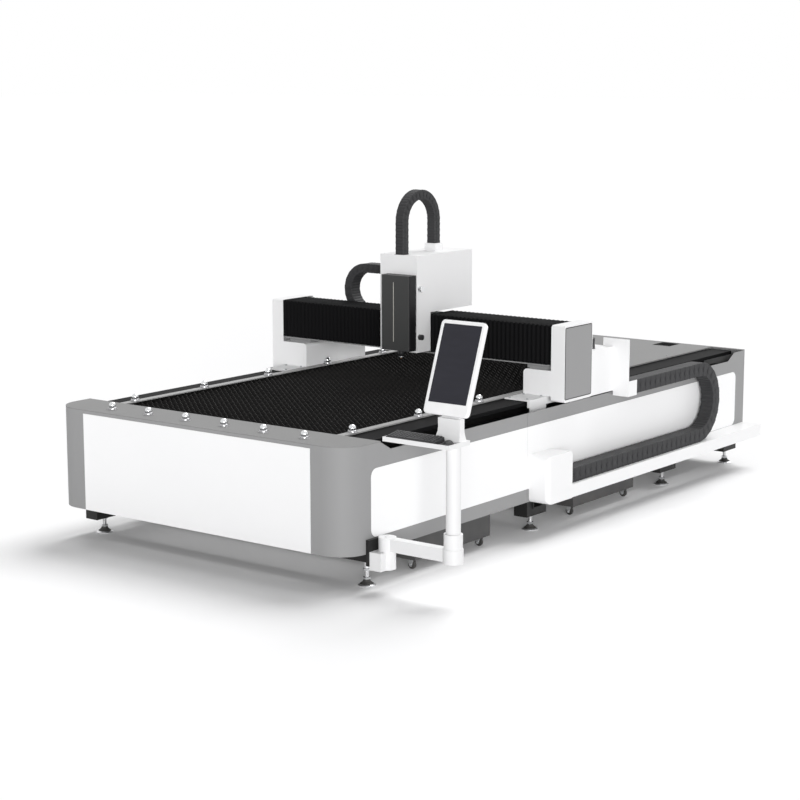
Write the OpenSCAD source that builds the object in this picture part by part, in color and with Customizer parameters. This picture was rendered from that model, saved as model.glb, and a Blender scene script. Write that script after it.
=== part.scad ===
// Flat-bed cutting machine: a slatted table in a long bed, a bridge that runs along it with a cross carriage
// and a vertical cutting head, cable chains, a swing-arm console and scrap carts that roll under the table.
// Lengths are in millimetres. x runs from the front to the rear, y from the right side to the left and z up
// from the floor, with the front right corner of the bed covers at x = 0 and y = 0.

/* [Bed] */
// Length of the bed covers
bed_l = 4440; // [4300:10:4800]
// Width of the bed covers
bed_w = 2200; // [2100:10:2400]
// Height of the lower edge of the covers
cover_bottom = 213; // [205:1:240]
// Height of the table surface
bed_top = 806; // [790:1:820]
// Height of the side covers between the raised ends
low_edge = 750; // [735:1:755]
// Radius of the two front corners
corner_r = 166; // [60:1:200]
// Thickness of the cover sheet
cover_t = 4; // [2:0.5:6]
// Thickness of the top plates
top_t = 6; // [4:0.5:8]
// Length of the front flange
flange_l = 290; // [260:5:320]
// Length of the raised rear end
rear_flange_l = 150; // [135:5:180]
// Width of the rim along the rear end
rear_rim = 24; // [16:1:40]
// Length of the opening in the rear deck
deck_slot_l = 160; // [60:5:180]
// Width of the opening in the rear deck
deck_slot_w = 142; // [80:2:200]
// Distance of that opening from the right cover
deck_slot_y = 494; // [300:2:900]
// Length of the sloping edges of the side covers
ramp_l = 90; // [40:5:120]
// Place of the seam in the side covers
seam_x = 1700; // [1500:10:1715]
// Width of that seam
seam_gap = 3; // [1:0.5:5]

/* [Panels] */
// Thickness of the white panels
panel_t = 2; // [1:0.5:4]
// Width of the front panel
front_panel_w = 1708; // [1400:4:1800]
// Height of the front panel's upper edge
front_panel_top = 783; // [700:1:788]
// Start of the side panels
side_panel_x = 206; // [202:1:320]
// Grey margin behind the side panels
side_panel_rear = 130; // [60:5:300]
// Lower edge of the side panels
side_panel_z0 = 294; // [288:1:320]
// Upper edge of the side panels
side_panel_z1 = 667; // [600:1:700]
// Corner radius of the side panels
panel_r = 45; // [10:1:80]

/* [Frame] */
// Width of the cross beams
cross_w = 100; // [80:5:140]
// Height of the cross beams
cross_h = 70; // [50:5:80]
// Wall of the cross beams
cross_wall = 8; // [4:1:12]
// Distance of the cross beam ends from the cover
cross_inset = 40; // [20:5:60]
// Distance of the side beams from the cover's outer face
side_beam_y = 124; // [122:1:130]
// Width of the side beams
side_beam_w = 100; // [80:1:110]
// Height of the side beams' top
side_beam_top = 690; // [685:1:700]
// Wall of the side beams
side_beam_wall = 10; // [6:1:16]

/* [Feet] */
// Place of the first feet along the bed
foot_front = 289; // [285:1:300]
// Distance between the first three pairs of feet
foot_pitch = 1594; // [1580:2:1600]
// Distance of the last feet from the rear end
foot_rear = 74; // [70:1:90]
// Distance of the feet from the cover's outer face
foot_y = 96; // [90:1:140]
// Length of the blocks over the feet
foot_block_l = 210; // [160:5:220]
// Width of the blocks over the feet
foot_block_w = 94; // [60:2:110]
// Height of the blocks' lower face
foot_block_z = 98; // [90:1:130]
// Diameter of the foot pads
pad_d = 100; // [84:2:130]
// Thickness of the foot pads
pad_h = 12; // [8:1:16]
// Diameter of the studs
stud_d = 24; // [16:1:30]
// Diameter of the sleeve over the foot beside the console
sleeve_d = 34; // [28:1:44]
// Lower diameter of the cones
cone_d = 76; // [60:2:80]
// Height of the cones
cone_h = 22; // [16:1:40]

/* [Table] */
// Outer edge of the ball strips
strip_y = 250; // [248:1:260]
// Width of the ball strips
strip_w = 50; // [48:1:60]
// Rear end of the slatted table
table_end = 3300; // [3000:10:3500]
// Distance between slats
slat_pitch = 75; // [60:5:150]
// Thickness of a slat
slat_t = 3; // [2:0.5:5]
// Height of a slat up to its tips
slat_h = 118; // [90:1:130]
// Height of the slat teeth
tooth_h = 14; // [8:1:30]
// Teeth on each slat
tooth_count = 40; // [10:1:50]
// Thickness of the table webs and walls
web_t = 8; // [5:1:10]

/* [Transfer balls] */
// Diameter of a ball
ball_d = 42; // [30:1:44]
// Outer diameter of a cup
cup_d = 54; // [50:1:56]
// Height of a cup
cup_h = 14; // [10:1:18]
// Place of the row on the front flange
ball_row_x = 110; // [80:1:200]
// Distance between balls on the front flange
ball_row_pitch = 290; // [250:5:300]
// First ball on the side strips
ball_strip_x = 395; // [380:5:500]
// Distance between balls on the side strips
ball_strip_pitch = 600; // [300:5:650]

/* [Rails] */
// Height of the rail axis
rail_z = 662; // [655:1:665]
// Width of the long rails
rail_w = 23; // [18:1:26]
// Depth of the long rails
rail_d = 24; // [20:1:26]
// Height of the rack axis
rack_z = 595; // [570:1:600]
// Height of the rack
rack_h = 30; // [20:1:36]
// Depth of the rack
rack_d = 20; // [15:1:21]
// Outer edge of the rail covers
rail_cover_y = 90; // [89:1:95]
// Sheet of the rail covers
rail_cover_t = 4; // [2:0.5:6]

/* [Gantry] */
// Place of the gantry's front face
gantry_x = 2015; // [1900:5:2030]
// Depth of the end covers
end_l = 315; // [300:5:330]
// Distance of the end covers outside the bed covers
end_out = 50; // [30:1:60]
// Inner edge of the end covers
end_in = 44; // [42:1:50]
// Height of the end covers' lower edge
end_z0 = 770; // [758:1:790]
// Height of the end covers' upper edge
end_z1 = 1235; // [1235:1:1260]
// Corner radius of the end covers
end_r = 18; // [8:1:40]
// Sheet of the white housings
house_t = 3; // [2:0.5:4]
// Front part of the base plates ahead of the front face
base_front = 200; // [185:5:215]
// Thickness of the base plates
base_t = 8; // [6:1:10]
// Height of the base plates' upper face
base_z = 803; // [800:1:804]
// Outer edge of the base plates
base_y = 66; // [64:1:67]
// Height of the leg boxes above the base plates
leg_h = 154; // [120:2:160]
// Radius of the leg boxes' upper inner edge
leg_r = 26; // [12:1:40]
// Length of the drive boxes
drive_l = 309; // [290:1:320]
// Height of the drive boxes above the base plates
drive_h = 237; // [200:1:260]
// Height of the beam's lower face
beam_z = 1010; // [1008:1:1020]
// Height of the beam
beam_h = 210; // [205:1:212]
// Depth of the beam
beam_l = 180; // [140:5:190]
// Wall of the beam
beam_wall = 10; // [6:1:14]
// Radius of the drive pinions
pinion_r = 27.7; // [24:0.1:28]

/* [Bellows] */
// Lower edge of the bellows
bellows_z = 993; // [990:1:1000]
// Thickness of the bellows
bellows_t = 12; // [6:1:12]

/* [Carriage] */
// Right face of the carriage cover
carriage_y = 940; // [900:5:1000]
// Width of the carriage cover
carriage_w = 286; // [280:2:300]
// Front face of the carriage cover ahead of the gantry
carriage_front = 144; // [140:1:160]
// Rear face of the carriage cover behind the gantry's front
carriage_rear = 445; // [435:1:480]
// Lower edge of the carriage cover
carriage_z0 = 1003; // [1000:1:1010]
// Upper edge of the carriage cover
carriage_z1 = 1607; // [1590:1:1640]

/* [Head] */
// Depth of the head cover
head_l = 78; // [74:1:90]
// Width of the head cover
head_w = 218; // [180:2:240]
// Lower edge of the head cover
head_z0 = 1020; // [1005:1:1030]
// Height of the head cover
head_h = 468; // [430:2:480]
// Diameter of the cutting head
cutter_d = 60; // [50:1:66]
// Height of the nozzle tip
tip_z = 965; // [962:1:980]

/* [Cable chains] */
// Width of the long chain
x_chain_w = 100; // [80:1:105]
// Thickness of the long chain
x_chain_t = 88; // [70:1:90]
// Outer radius of the long chain's bend
x_chain_r = 267; // [262:1:272]
// Place of the long chain's bend
x_chain_bend = 3594; // [3400:5:3650]
// Distance of the long chain shelf out from the covers
shelf_out = 141; // [135:1:150]
// Height of the shelf's upper face
shelf_z = 292; // [280:1:292]
// Width of the cross chain
y_chain_w = 100; // [70:1:104]
// Thickness of the cross chain
y_chain_t = 60; // [40:1:64]
// Outer radius of the cross chain's bend
y_chain_r = 175; // [170:1:180]
// Place of the cross chain's bend
y_chain_bend = 1718; // [1600:2:1740]
// Width of the vertical chain
z_chain_w = 65; // [50:1:70]
// Thickness of the vertical chain
z_chain_t = 60; // [40:1:62]
// Outer radius of the vertical chain's bend
z_chain_r = 195.5; // [180:0.5:200]
// Height of the vertical chain's bend
z_chain_bend = 1805; // [1760:1:1840]

/* [Console] */
// Place of the console along the bed
console_x = 250; // [245:1:270]
// Distance of the arm's hinge out from the cover
hinge_out = 75; // [74:1:80]
// Length of the arm
arm_l = 430; // [400:1:470]
// Height of the arm's lower face
arm_z = 228; // [224:1:236]
// Height of the arm
arm_h = 76; // [60:1:80]
// Diameter of the post
post_d = 78; // [60:1:84]
// Height of the desk's lower face
desk_z = 842; // [830:1:860]
// Depth of the desk
desk_l = 191; // [180:1:240]
// Width of the desk
desk_w = 423; // [400:1:440]
// Thickness of the desk
desk_t = 24; // [20:1:30]
// Width of the monitor
monitor_w = 280; // [260:1:310]
// Height of the monitor
monitor_h = 500; // [460:1:540]
// Thickness of the monitor
monitor_t = 40; // [30:1:44]
// Lean of the monitor in degrees
monitor_lean = 20; // [14:1:22]
// Edge around the display
bezel = 20; // [10:1:24]
// Edge below the display
chin = 62; // [30:1:80]

/* [Scrap carts] */
// Length of a cart along the bed
cart_l = 730; // [600:5:800]
// Distance of the carts' ends from the cover
cart_inset = 60; // [50:5:120]
// Height of a cart's floor
cart_z = 62; // [56:1:70]
// Height of a cart's rim
cart_top = 195; // [150:1:198]
// Sheet of the carts
cart_t = 3; // [2:0.5:5]
// Diameter of the caster wheels
wheel_d = 50; // [40:1:50]
// Width of the caster wheels
wheel_w = 20; // [14:1:24]

/* [Hidden] */
$fn = 48;

GREY = "#a0a0a0";
WHITE = "#f0f0f0";
BLACK = "#222222";
DARK = "#3f3f3f";
STEEL = "#8c9096";
CHROME = "#d0d4d8";

eps = 1;
run_gap = 0.05;
clear = 0.5;
close_gap = 0.3;

foot_x = [foot_front, foot_front + foot_pitch, foot_front + 2 * foot_pitch, bed_l - foot_rear];
cart_x = [676, 2313];
caster_in = 40;
caster_end = 50;
caster_y = [cart_inset + caster_end, bed_w - cart_inset - caster_end];

cover_top = bed_top - top_t;
rear_x = bed_l - rear_flange_l;
deck_slot_x = bed_l - rear_rim - 2;
rail_cover_x = [flange_l + eps, bed_l - rear_rim - eps];
wall_x = [flange_l - 2 * web_t, table_end + web_t, rear_x + 2 * web_t];
web_z = 600;
spacer_h = 80;
slat_top = cover_top - 2;
slat_z = slat_top - slat_h;
ledge_h = 40;
slat_y0 = strip_y + web_t + clear;
slat_y1 = bed_w - slat_y0;
cup_floor = 1.5;
cup_pocket = ball_d + 0.6;
ball_z = bed_top + cup_floor + close_gap + ball_d / 2;

base_x0 = gantry_x - base_front;
end_x1 = gantry_x + end_l;
drive_x1 = end_x1 + 1 + drive_l;
base_in = strip_y - 6;
rail_cover_z = base_z - base_t - 6 * clear;
leg_in = base_in - 2;
leg_top = base_z + leg_h;
leg_wall = 8;
bracket_t = 14;
bracket_z = 630;
skirt_z = 757;
slider_l = [[base_x0 + 35, base_x0 + 175], [end_x1 - 30, end_x1 + 80]];
slider_h = 55;
slider_in = side_beam_y - 8;
pinion_back = 145;
pinion_x = end_x1 + pinion_back;
gearbox_l = 90;
gearbox_in = 60;
gearbox_h = 77;
x_motor_d = 96;
pinion_y = side_beam_y - rack_d - pinion_r - close_gap;
notch = 36;
beam_x0 = gantry_x + 45;
beam_x1 = beam_x0 + beam_l;
beam_y0 = end_in + 16;
beam_y1 = bed_w - beam_y0;
beam_top = beam_z + beam_h;
bellows_top = end_z1 - 1;
y_rail_d = 22;
y_rail_w = 20;
y_rail_z = [beam_z + 40, beam_top - 40];
magnet_d = 10;
tray_t = 6;

car_x0 = gantry_x - carriage_front;
car_x1 = gantry_x + carriage_rear;
car_y1 = carriage_y + carriage_w;
car_over = end_z1 + 10;
plate_x = gantry_x - 15;
plate_t = 20;
plate_z0 = carriage_z0 + 12;
plate_z1 = carriage_z1 - 47;
plate_y0 = carriage_y + house_t;
plate_y1 = car_y1 - house_t;
z_rail_d = 22;
z_rail_w = 20;
z_rail_y = [carriage_y + 22, car_y1 - 26];
screw_r = 10;
screw_x = plate_x - 38;
screw_y = carriage_y + 70;
bearing_h = 25;
bearing_z = [plate_z0 + 5, plate_z1 - 80];

head_x1 = car_x0 - 3;
head_x0 = head_x1 - head_l;
head_y1 = carriage_y + head_w;
head_z1 = head_z0 + head_h;
slide_x = plate_x - 75;
slide_t = 15;
slide_low = 150;
slide_h = 250;
slide_z = [head_z0 + slide_low, head_z0 + slide_low + slide_h];
slide_y = [plate_y0 + 7, plate_y1 - 7];
neck_y = [carriage_y + 70, carriage_y + 150];
neck_z = [slide_z[0] + 30, slide_z[1] - 30];
cutter_x = (head_x0 + head_x1) / 2;
cutter_y = carriage_y + 91;
cutter_low_r = 22;
z_up = 60;

z_chain_in = 115;
z_chain_y = carriage_y + z_chain_in;
z_chain_x = car_x0 + 12;
z_chain_cx = z_chain_x + z_chain_r;
chain_arm_h = 80;
z_chain_low = slide_z[1] + chain_arm_h;
stand_h = 48;
knob_x = car_x0 + 26;
knob_low = 80;
knob_pitch = 300;
knob_z = [head_z0 + knob_low, head_z0 + knob_low + knob_pitch];

y_chain_x = end_x1 + 5;
y_chain_cz = 1300;
y_chain_fix = bed_w / 2;

x_chain_y = -shelf_out + 20;
x_chain_z = shelf_z + close_gap;
chain_box_l = 261;
chain_box_x = seam_x + 19;
chain_box_h = 290;
box_r = 30;
shelf_x = chain_box_x + chain_box_l;
bracket_x = drive_x1 + 1;
foot_l = 103;
cheek_t = 4;

hinge_y = -hinge_out;
post_y = hinge_y - arm_l;
pin_r = 15;
arm_top = arm_z + arm_h;
collar_h = 80;
hinge_r = 48;
bracket_low = cover_bottom - 83;
spigot_r = 20;
desk_x = console_x - 100;
desk_in = 384;
desk_y1 = post_y + desk_in;
desk_y0 = desk_y1 - desk_w;
desk_top = desk_z + desk_t;
screen_y = post_y + 60;
screen_y0 = screen_y - monitor_w / 2;
screen_x = console_x;
screen_z = desk_top + 134;
lug_u = 60;
lug_n = monitor_t + 14;
tilt_x = screen_x + lug_u * sin(monitor_lean) + lug_n * cos(monitor_lean);
tilt_z = screen_z + lug_u * cos(monitor_lean) - lug_n * sin(monitor_lean);
stand_w = 110;
neck_h = 110;
neck_t = 42;
neck_side = 14;
foot_rise = 60;
foot_reach = 22;
foot_flare = 14;
tray_l = 110;
keys_l = 102;
keys_low = 6;
keys_high = 25;
screen_u = [chin, monitor_h - bezel];
screen_v = [bezel, monitor_w - bezel];
barrel_r = 14;
tilt_pin_r = 8;

left_most = bed_w + end_out + panel_t;
right_most = screen_y0;
origin_x = (bed_l - panel_t) / 2;
origin_y = (left_most + right_most) / 2;

module block(x, y, z) {
    translate([x[0], y[0], z[0]])
        cube([x[1] - x[0], y[1] - y[0], z[1] - z[0]]);
}

module both_sides() {
    children();
    translate([0, bed_w, 0]) mirror([0, 1, 0]) children();
}

// An outline in x and z, drawn out from y0 to y1
module xz(y0, y1) {
    translate([0, y1, 0]) rotate([90, 0, 0]) linear_extrude(y1 - y0) children();
}

// An outline in y and z, drawn out from x0 to x1
module yz(x0, x1) {
    translate([x0, 0, 0]) rotate([90, 0, 90]) linear_extrude(x1 - x0) children();
}

module rounded(x, y, r) {
    translate([x[0] + r, y[0]]) square([x[1] - x[0] - 2 * r, y[1] - y[0]]);
    translate([x[0], y[0] + r]) square([x[1] - x[0], y[1] - y[0] - 2 * r]);
    for (cx = [x[0] + r, x[1] - r], cy = [y[0] + r, y[1] - r]) translate([cx, cy]) circle(r);
}

module bed_outline(inset, rear) {
    intersection() {
        union() {
            translate([corner_r, inset]) square([rear, bed_w - 2 * inset]);
            translate([inset, corner_r]) square([rear, bed_w - 2 * corner_r]);
            for (y = [corner_r, bed_w - corner_r]) translate([corner_r, y]) circle(corner_r - inset);
        }
        square([rear, bed_w]);
    }
}

module place() {
    translate([-origin_x, -origin_y, 0]) children();
}

module foot_block(x) {
    block([x - foot_block_l / 2, min(x + foot_block_l / 2, bed_l)],
        [foot_y - foot_block_w / 2, foot_y + foot_block_w / 2], [foot_block_z, cover_bottom]);
}

// A hollow beam across the bed under the covers, with a block over each foot but the one beside the console
module cross_beam(x) {
    difference() {
        union() {
            block([x - cross_w / 2, x + cross_w / 2], [cross_inset, bed_w - cross_inset],
                [cover_bottom - cross_h, cover_bottom]);
            if (x > foot_x[0]) foot_block(x);
            translate([0, bed_w, 0]) mirror([0, 1, 0]) foot_block(x);
        }
        block([x - cross_w / 2 + cross_wall, x + cross_w / 2 - cross_wall], [cross_inset - eps, bed_w],
            [cover_bottom - cross_h + cross_wall, cover_bottom - cross_wall]);
    }
}

module cross_beams() {
    color(BLACK) place() for (x = foot_x) cross_beam(x);
}

module bed_beams() {
    color(DARK) place() {
        both_sides() difference() {
            block([foot_x[0] - cross_w / 2, bed_l - cover_t - 10], [side_beam_y, side_beam_y + side_beam_w],
                [cover_bottom, side_beam_top]);
            block([0, bed_l + eps],
                [side_beam_y + side_beam_wall, side_beam_y + side_beam_w - side_beam_wall],
                [cover_bottom + side_beam_wall, side_beam_top - side_beam_wall]);
        }
        for (x = wall_x) block([x - web_t / 2, x + web_t / 2], [strip_y + web_t, bed_w - strip_y - web_t],
            [web_z, cover_top]);
    }
}

module table_frame() {
    color(GREY) place() both_sides() {
        block([flange_l, table_end], [strip_y, strip_y + strip_w], [cover_top, bed_top]);
        block([flange_l - 3 * web_t, rear_x + 3 * web_t], [strip_y, strip_y + web_t], [web_z, cover_top]);
        block([flange_l - 3 * web_t, rear_x + 3 * web_t], [side_beam_y + side_beam_w, strip_y],
            [web_z, web_z + spacer_h]);
        block([flange_l, table_end], [strip_y + web_t, strip_y + strip_w], [slat_z - ledge_h, slat_z]);
    }
}

module slats() {
    pitch = (slat_y1 - slat_y0) / tooth_count;
    teeth = [for (i = [0 : tooth_count - 1]) each [
        [slat_y1 - i * pitch, slat_top - tooth_h],
        [slat_y1 - (i + 0.5) * pitch, slat_top]
    ]];
    color(BLACK) place() for (x = [flange_l + slat_pitch / 2 : slat_pitch : table_end - slat_pitch / 3])
        yz(x - slat_t / 2, x + slat_t / 2)
            polygon(concat([[slat_y0, slat_z], [slat_y1, slat_z]], teeth, [[slat_y0, slat_top - tooth_h]]));
}

module front_cover() {
    color(GREY) place() difference() {
        translate([0, 0, cover_bottom]) linear_extrude(cover_top - cover_bottom) difference() {
            bed_outline(0, seam_x - seam_gap / 2);
            bed_outline(cover_t, seam_x);
        }
        xz(-eps, bed_w + eps) polygon([
            [flange_l, cover_top], [flange_l + ramp_l, low_edge], [seam_x, low_edge], [seam_x, bed_top],
            [flange_l, bed_top]
        ]);
    }
}

module side_covers() {
    color(GREY) place() both_sides() xz(0, cover_t) polygon([
        [seam_x + seam_gap / 2, cover_bottom], [bed_l - cover_t, cover_bottom], [bed_l - cover_t, cover_top],
        [rear_x, cover_top], [rear_x - ramp_l, low_edge], [seam_x + seam_gap / 2, low_edge]
    ]);
}

module rear_cover() {
    color(GREY) place() block([bed_l - cover_t, bed_l], [0, bed_w], [cover_bottom, cover_top]);
}

module front_panel() {
    color(WHITE) place() block([-panel_t, 0], [(bed_w - front_panel_w) / 2, (bed_w + front_panel_w) / 2],
        [cover_bottom, front_panel_top]);
}

module side_panels() {
    color(WHITE) place() both_sides() difference() {
        xz(-panel_t, 0)
            rounded([side_panel_x, bed_l - side_panel_rear], [side_panel_z0, side_panel_z1], panel_r);
        block([seam_x - seam_gap / 2, seam_x + seam_gap / 2], [-2 * panel_t, panel_t],
            [side_panel_z0 - eps, side_panel_z1 + eps]);
    }
}

module front_flange() {
    color(GREY) place() translate([0, 0, cover_top]) linear_extrude(top_t) bed_outline(0, flange_l);
}

module rear_deck() {
    color(GREY) place() difference() {
        union() {
            block([table_end, bed_l], [strip_y, bed_w - strip_y], [cover_top, bed_top]);
            block([bed_l - rear_rim, bed_l], [0, bed_w], [cover_top, bed_top]);
        }
        block([deck_slot_x - deck_slot_l, deck_slot_x], [deck_slot_y, deck_slot_y + deck_slot_w],
            [cover_top - eps, bed_top + eps]);
    }
}

function ball_places() = concat(
    [for (i = [-2.5 : 2.5]) [ball_row_x, bed_w / 2 + i * ball_row_pitch]],
    [for (x = [ball_strip_x : ball_strip_pitch : table_end - cup_d],
        y = [strip_y + strip_w / 2, bed_w - strip_y - strip_w / 2]) [x, y]]
);

module ball_cups() {
    color(CHROME) place() for (p = ball_places()) translate([p[0], p[1], bed_top]) difference() {
        cylinder(d = cup_d, h = cup_h);
        translate([0, 0, cup_floor]) cylinder(d = cup_pocket, h = cup_h);
    }
}

module transfer_balls() {
    color(CHROME) place() for (p = ball_places()) translate([p[0], p[1], ball_z]) sphere(d = ball_d);
}

module rail_covers() {
    color(BLACK) place() both_sides() {
        block(rail_cover_x, [rail_cover_y, strip_y], [rail_cover_z - rail_cover_t, rail_cover_z]);
        block(rail_cover_x, [rail_cover_y, rail_cover_y + rail_cover_t], [rail_cover_z - 22, rail_cover_z]);
    }
}

module linear_rails() {
    color(STEEL) place() both_sides() block([flange_l + 20, rear_x - 20], [side_beam_y - rail_d, side_beam_y],
        [rail_z - rail_w / 2, rail_z + rail_w / 2]);
}

module racks() {
    color(STEEL) place() both_sides() block([flange_l + 20, rear_x - 20], [side_beam_y - rack_d, side_beam_y],
        [rack_z - rack_h / 2, rack_z + rack_h / 2]);
}

module at_feet() {
    for (x = foot_x) both_sides() translate([x, foot_y, 0]) children();
}

module foot_pads() {
    color(CHROME) place() {
        at_feet() {
            cylinder(d = pad_d, h = pad_h);
            cylinder(d = stud_d, h = foot_block_z);
        }
        translate([foot_x[0], foot_y, foot_block_z - eps])
            cylinder(d = sleeve_d, h = cover_bottom - cross_h - foot_block_z + eps);
    }
}

module foot_cones() {
    color(BLACK) place() at_feet() difference() {
        translate([0, 0, pad_h]) cylinder(d1 = cone_d, d2 = stud_d + 20, h = cone_h);
        translate([0, 0, pad_h - eps]) cylinder(d = stud_d + 2 * close_gap, h = cone_h + 2 * eps);
    }
}

module chain_shelf() {
    color(WHITE) place() difference() {
        block([shelf_x, bed_l], [-shelf_out, 0], [cover_bottom, shelf_z]);
        block([shelf_x - eps, bed_l + eps], [-shelf_out + house_t, -house_t],
            [cover_bottom - eps, shelf_z - house_t]);
    }
}

module chain_box() {
    color(WHITE) place() difference() {
        box_body(0);
        box_body(house_t);
    }
}

// Body of the chain box, drawn in by the inset: its plan, with round upper edges and a round lower front edge
module box_body(inset) {
    r = box_r - inset;
    x = [chain_box_x + inset, chain_box_x + chain_box_l - inset];
    z = [cover_bottom - 3 + inset, cover_bottom - 3 + chain_box_h - inset];
    intersection() {
        translate([0, 0, z[0]]) linear_extrude(z[1] - z[0]) box_outline(inset);
        xz(-shelf_out - eps, 2 * eps) {
            rounded(x, z, r);
            translate([x[1] - r, z[0]]) square(r);
        }
    }
}

module box_outline(inset) {
    r = box_r - inset;
    x0 = chain_box_x + inset;
    x1 = chain_box_x + chain_box_l - inset;
    y0 = -shelf_out + inset;
    y1 = inset > 0 ? eps : -panel_t;
    translate([x0, y0 + r]) square([x1 - x0, y1 - y0 - r]);
    translate([x0 + r, y0]) square([x1 - x0 - r, r]);
    translate([x0 + r, y0 + r]) circle(r);
}

module console_mount() {
    color(BLACK) place() block([console_x - 90, console_x + 10], [-20, 0],
        [bracket_low + 20, side_panel_z0 - 2]);
}

module console_bracket() {
    color(WHITE) place() {
        block([console_x - 85, console_x + 20], [hinge_y - 20, -20], [bracket_low, arm_z - close_gap]);
        translate([console_x, hinge_y, bracket_low]) {
            cylinder(r = hinge_r - 2, h = arm_z - close_gap - bracket_low);
            cylinder(r = pin_r, h = arm_top + 6 - bracket_low);
        }
    }
}

module gantry_beam() {
    color(GREY) place() {
        difference() {
            block([beam_x0, beam_x1], [beam_y0, beam_y1], [beam_z, beam_top]);
            block([beam_x0 + beam_wall, beam_x1 - beam_wall], [beam_y0 - eps, beam_y1 + eps],
                [beam_z + beam_wall, beam_top - beam_wall]);
        }
        both_sides() block([beam_x0, beam_x1], [beam_y0, leg_in], [leg_top, beam_z]);
        block([gantry_x, beam_x0], [beam_y0, beam_y1], [bellows_z - 8, bellows_z - 2]);
        block([beam_x0 - 4, beam_x0], [beam_y0, beam_y1], [bellows_z - 8, beam_z + 12]);
        block([beam_x1, y_chain_x + y_chain_w + 10], [beam_y0, beam_y1], [y_chain_cz - y_chain_r - tray_t,
            y_chain_cz - y_chain_r - close_gap]);
        block([y_chain_x + y_chain_w + 6, y_chain_x + y_chain_w + 10], [beam_y0, beam_y1],
            [y_chain_cz - y_chain_r - tray_t, y_chain_cz - y_chain_r + 26]);
    }
}

module beam_rails() {
    color(STEEL) place() {
        for (z = y_rail_z) block([beam_x0 - y_rail_d, beam_x0], [beam_y0 + 10, beam_y1 - 10],
            [z - y_rail_w / 2, z + y_rail_w / 2]);
        block([beam_x0 - magnet_d, beam_x0], [beam_y0 + 10, beam_y1 - 10],
            [y_rail_z[0] + 35, y_rail_z[1] - 35]);
    }
}

module base_plates() {
    color(WHITE) place() both_sides() difference() {
        union() {
            block([base_x0, drive_x1], [base_y, base_in], [base_z - base_t, base_z]);
            block([base_x0, drive_x1], [base_y, base_y + bracket_t], [skirt_z, base_z]);
            for (s = slider_l) block([s[0] - 10, s[1] + 10], [base_y, base_y + bracket_t],
                [bracket_z, base_z]);
        }
        block([pinion_x - notch, pinion_x + notch], [base_y - eps, pinion_y + notch],
            [bracket_z, base_z + eps]);
    }
}

module slider_blocks() {
    color(STEEL) place() both_sides() for (s = slider_l) difference() {
        block(s, [base_y + bracket_t, slider_in], [rail_z - slider_h / 2, rail_z + slider_h / 2]);
        block([s[0] - eps, s[1] + eps], [side_beam_y - rail_d - clear, side_beam_y],
            [rail_z - rail_w / 2 - clear, rail_z + rail_w / 2 + clear]);
    }
}

module leg_boxes() {
    color(WHITE) place() both_sides() difference() {
        yz(gantry_x, end_x1) leg_outline(0, base_z);
        yz(gantry_x + leg_wall, end_x1 - leg_wall) leg_outline(leg_wall, base_z - eps);
    }
}

// Outline of a leg box in y and z, drawn in by the inset and standing on z0
module leg_outline(inset, z0) {
    r = leg_r - inset;
    y0 = end_in + inset;
    y1 = leg_in - inset;
    z1 = leg_top - inset;
    translate([y0, z0]) square([y1 - y0 - r, z1 - z0]);
    translate([y0, z0]) square([y1 - y0, z1 - z0 - r]);
    translate([y1 - r, z1 - r]) circle(r);
}

module end_covers() {
    color(WHITE) place() both_sides() difference() {
        xz(-end_out, end_in) rounded([gantry_x, end_x1], [end_z0, end_z1], end_r);
        xz(-end_out + house_t, end_in + eps)
            rounded([gantry_x + house_t, end_x1 - house_t], [end_z0 + house_t, end_z1 - house_t],
                end_r - house_t);
    }
}

module end_panels() {
    color(GREY) place() both_sides() xz(-end_out - panel_t, -end_out)
        rounded([gantry_x + 13, end_x1 - 13], [end_z0 + 22, end_z1 - 16], 6);
}

module drive_boxes() {
    color(WHITE) place() both_sides() difference() {
        block([end_x1 + 1, drive_x1], [-10, leg_in], [end_z0 - 10, base_z + drive_h]);
        block([end_x1 + 1 + house_t, drive_x1 - house_t], [-10 + house_t, leg_in - house_t],
            [end_z0 - 11, base_z + drive_h - house_t]);
        block([end_x1, drive_x1 + eps], [base_y - 4, leg_in + eps], [end_z0 - 11, base_z]);
        translate([pinion_x, pinion_y, base_z]) cylinder(d = x_motor_d + 8, h = drive_h + eps);
    }
}

module chain_bracket() {
    cheek_y = x_chain_y - 2 - cheek_t;
    color(WHITE) place() {
        block([drive_x1, bracket_x + 5], [cheek_y, base_y - 6], [end_z0 - 10, base_z + drive_h + 50]);
        block([drive_x1, bracket_x + 5], [cheek_y, -15], [foot_z() - 6, end_z0]);
        block([bracket_x, bracket_x + foot_l], [cheek_y, cheek_y + cheek_t], [foot_z() - 6, x_chain_top()]);
        block([bracket_x, bracket_x + foot_l], [cheek_y, -15], [foot_z() - 6, foot_z()]);
    }
}

function x_chain_top() = x_chain_z + 2 * x_chain_r;
function foot_z() = x_chain_top() - x_chain_t - 2;

module x_motors() {
    color(DARK) place() both_sides() {
        block([pinion_x - gearbox_l / 2, pinion_x + gearbox_l / 2], [base_y, pinion_y + gearbox_in],
            [base_z, base_z + gearbox_h]);
        translate([pinion_x, pinion_y, base_z + gearbox_h - eps]) cylinder(d = x_motor_d, h = drive_h - 12);
    }
}

module carriage_plate() {
    color(STEEL) place() {
        block([plate_x, plate_x + plate_t], [plate_y0, plate_y1], [plate_z0, plate_z1]);
        for (z = y_rail_z, y = [plate_y0 + 17, plate_y1 - 107]) difference() {
            block([plate_x + plate_t - eps, beam_x0 - 6], [y, y + 90], [z - 28, z + 28]);
            block([beam_x0 - y_rail_d - clear, beam_x0], [y - eps, y + 90 + eps],
                [z - y_rail_w / 2 - clear, z + y_rail_w / 2 + clear]);
        }
    }
}

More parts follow.
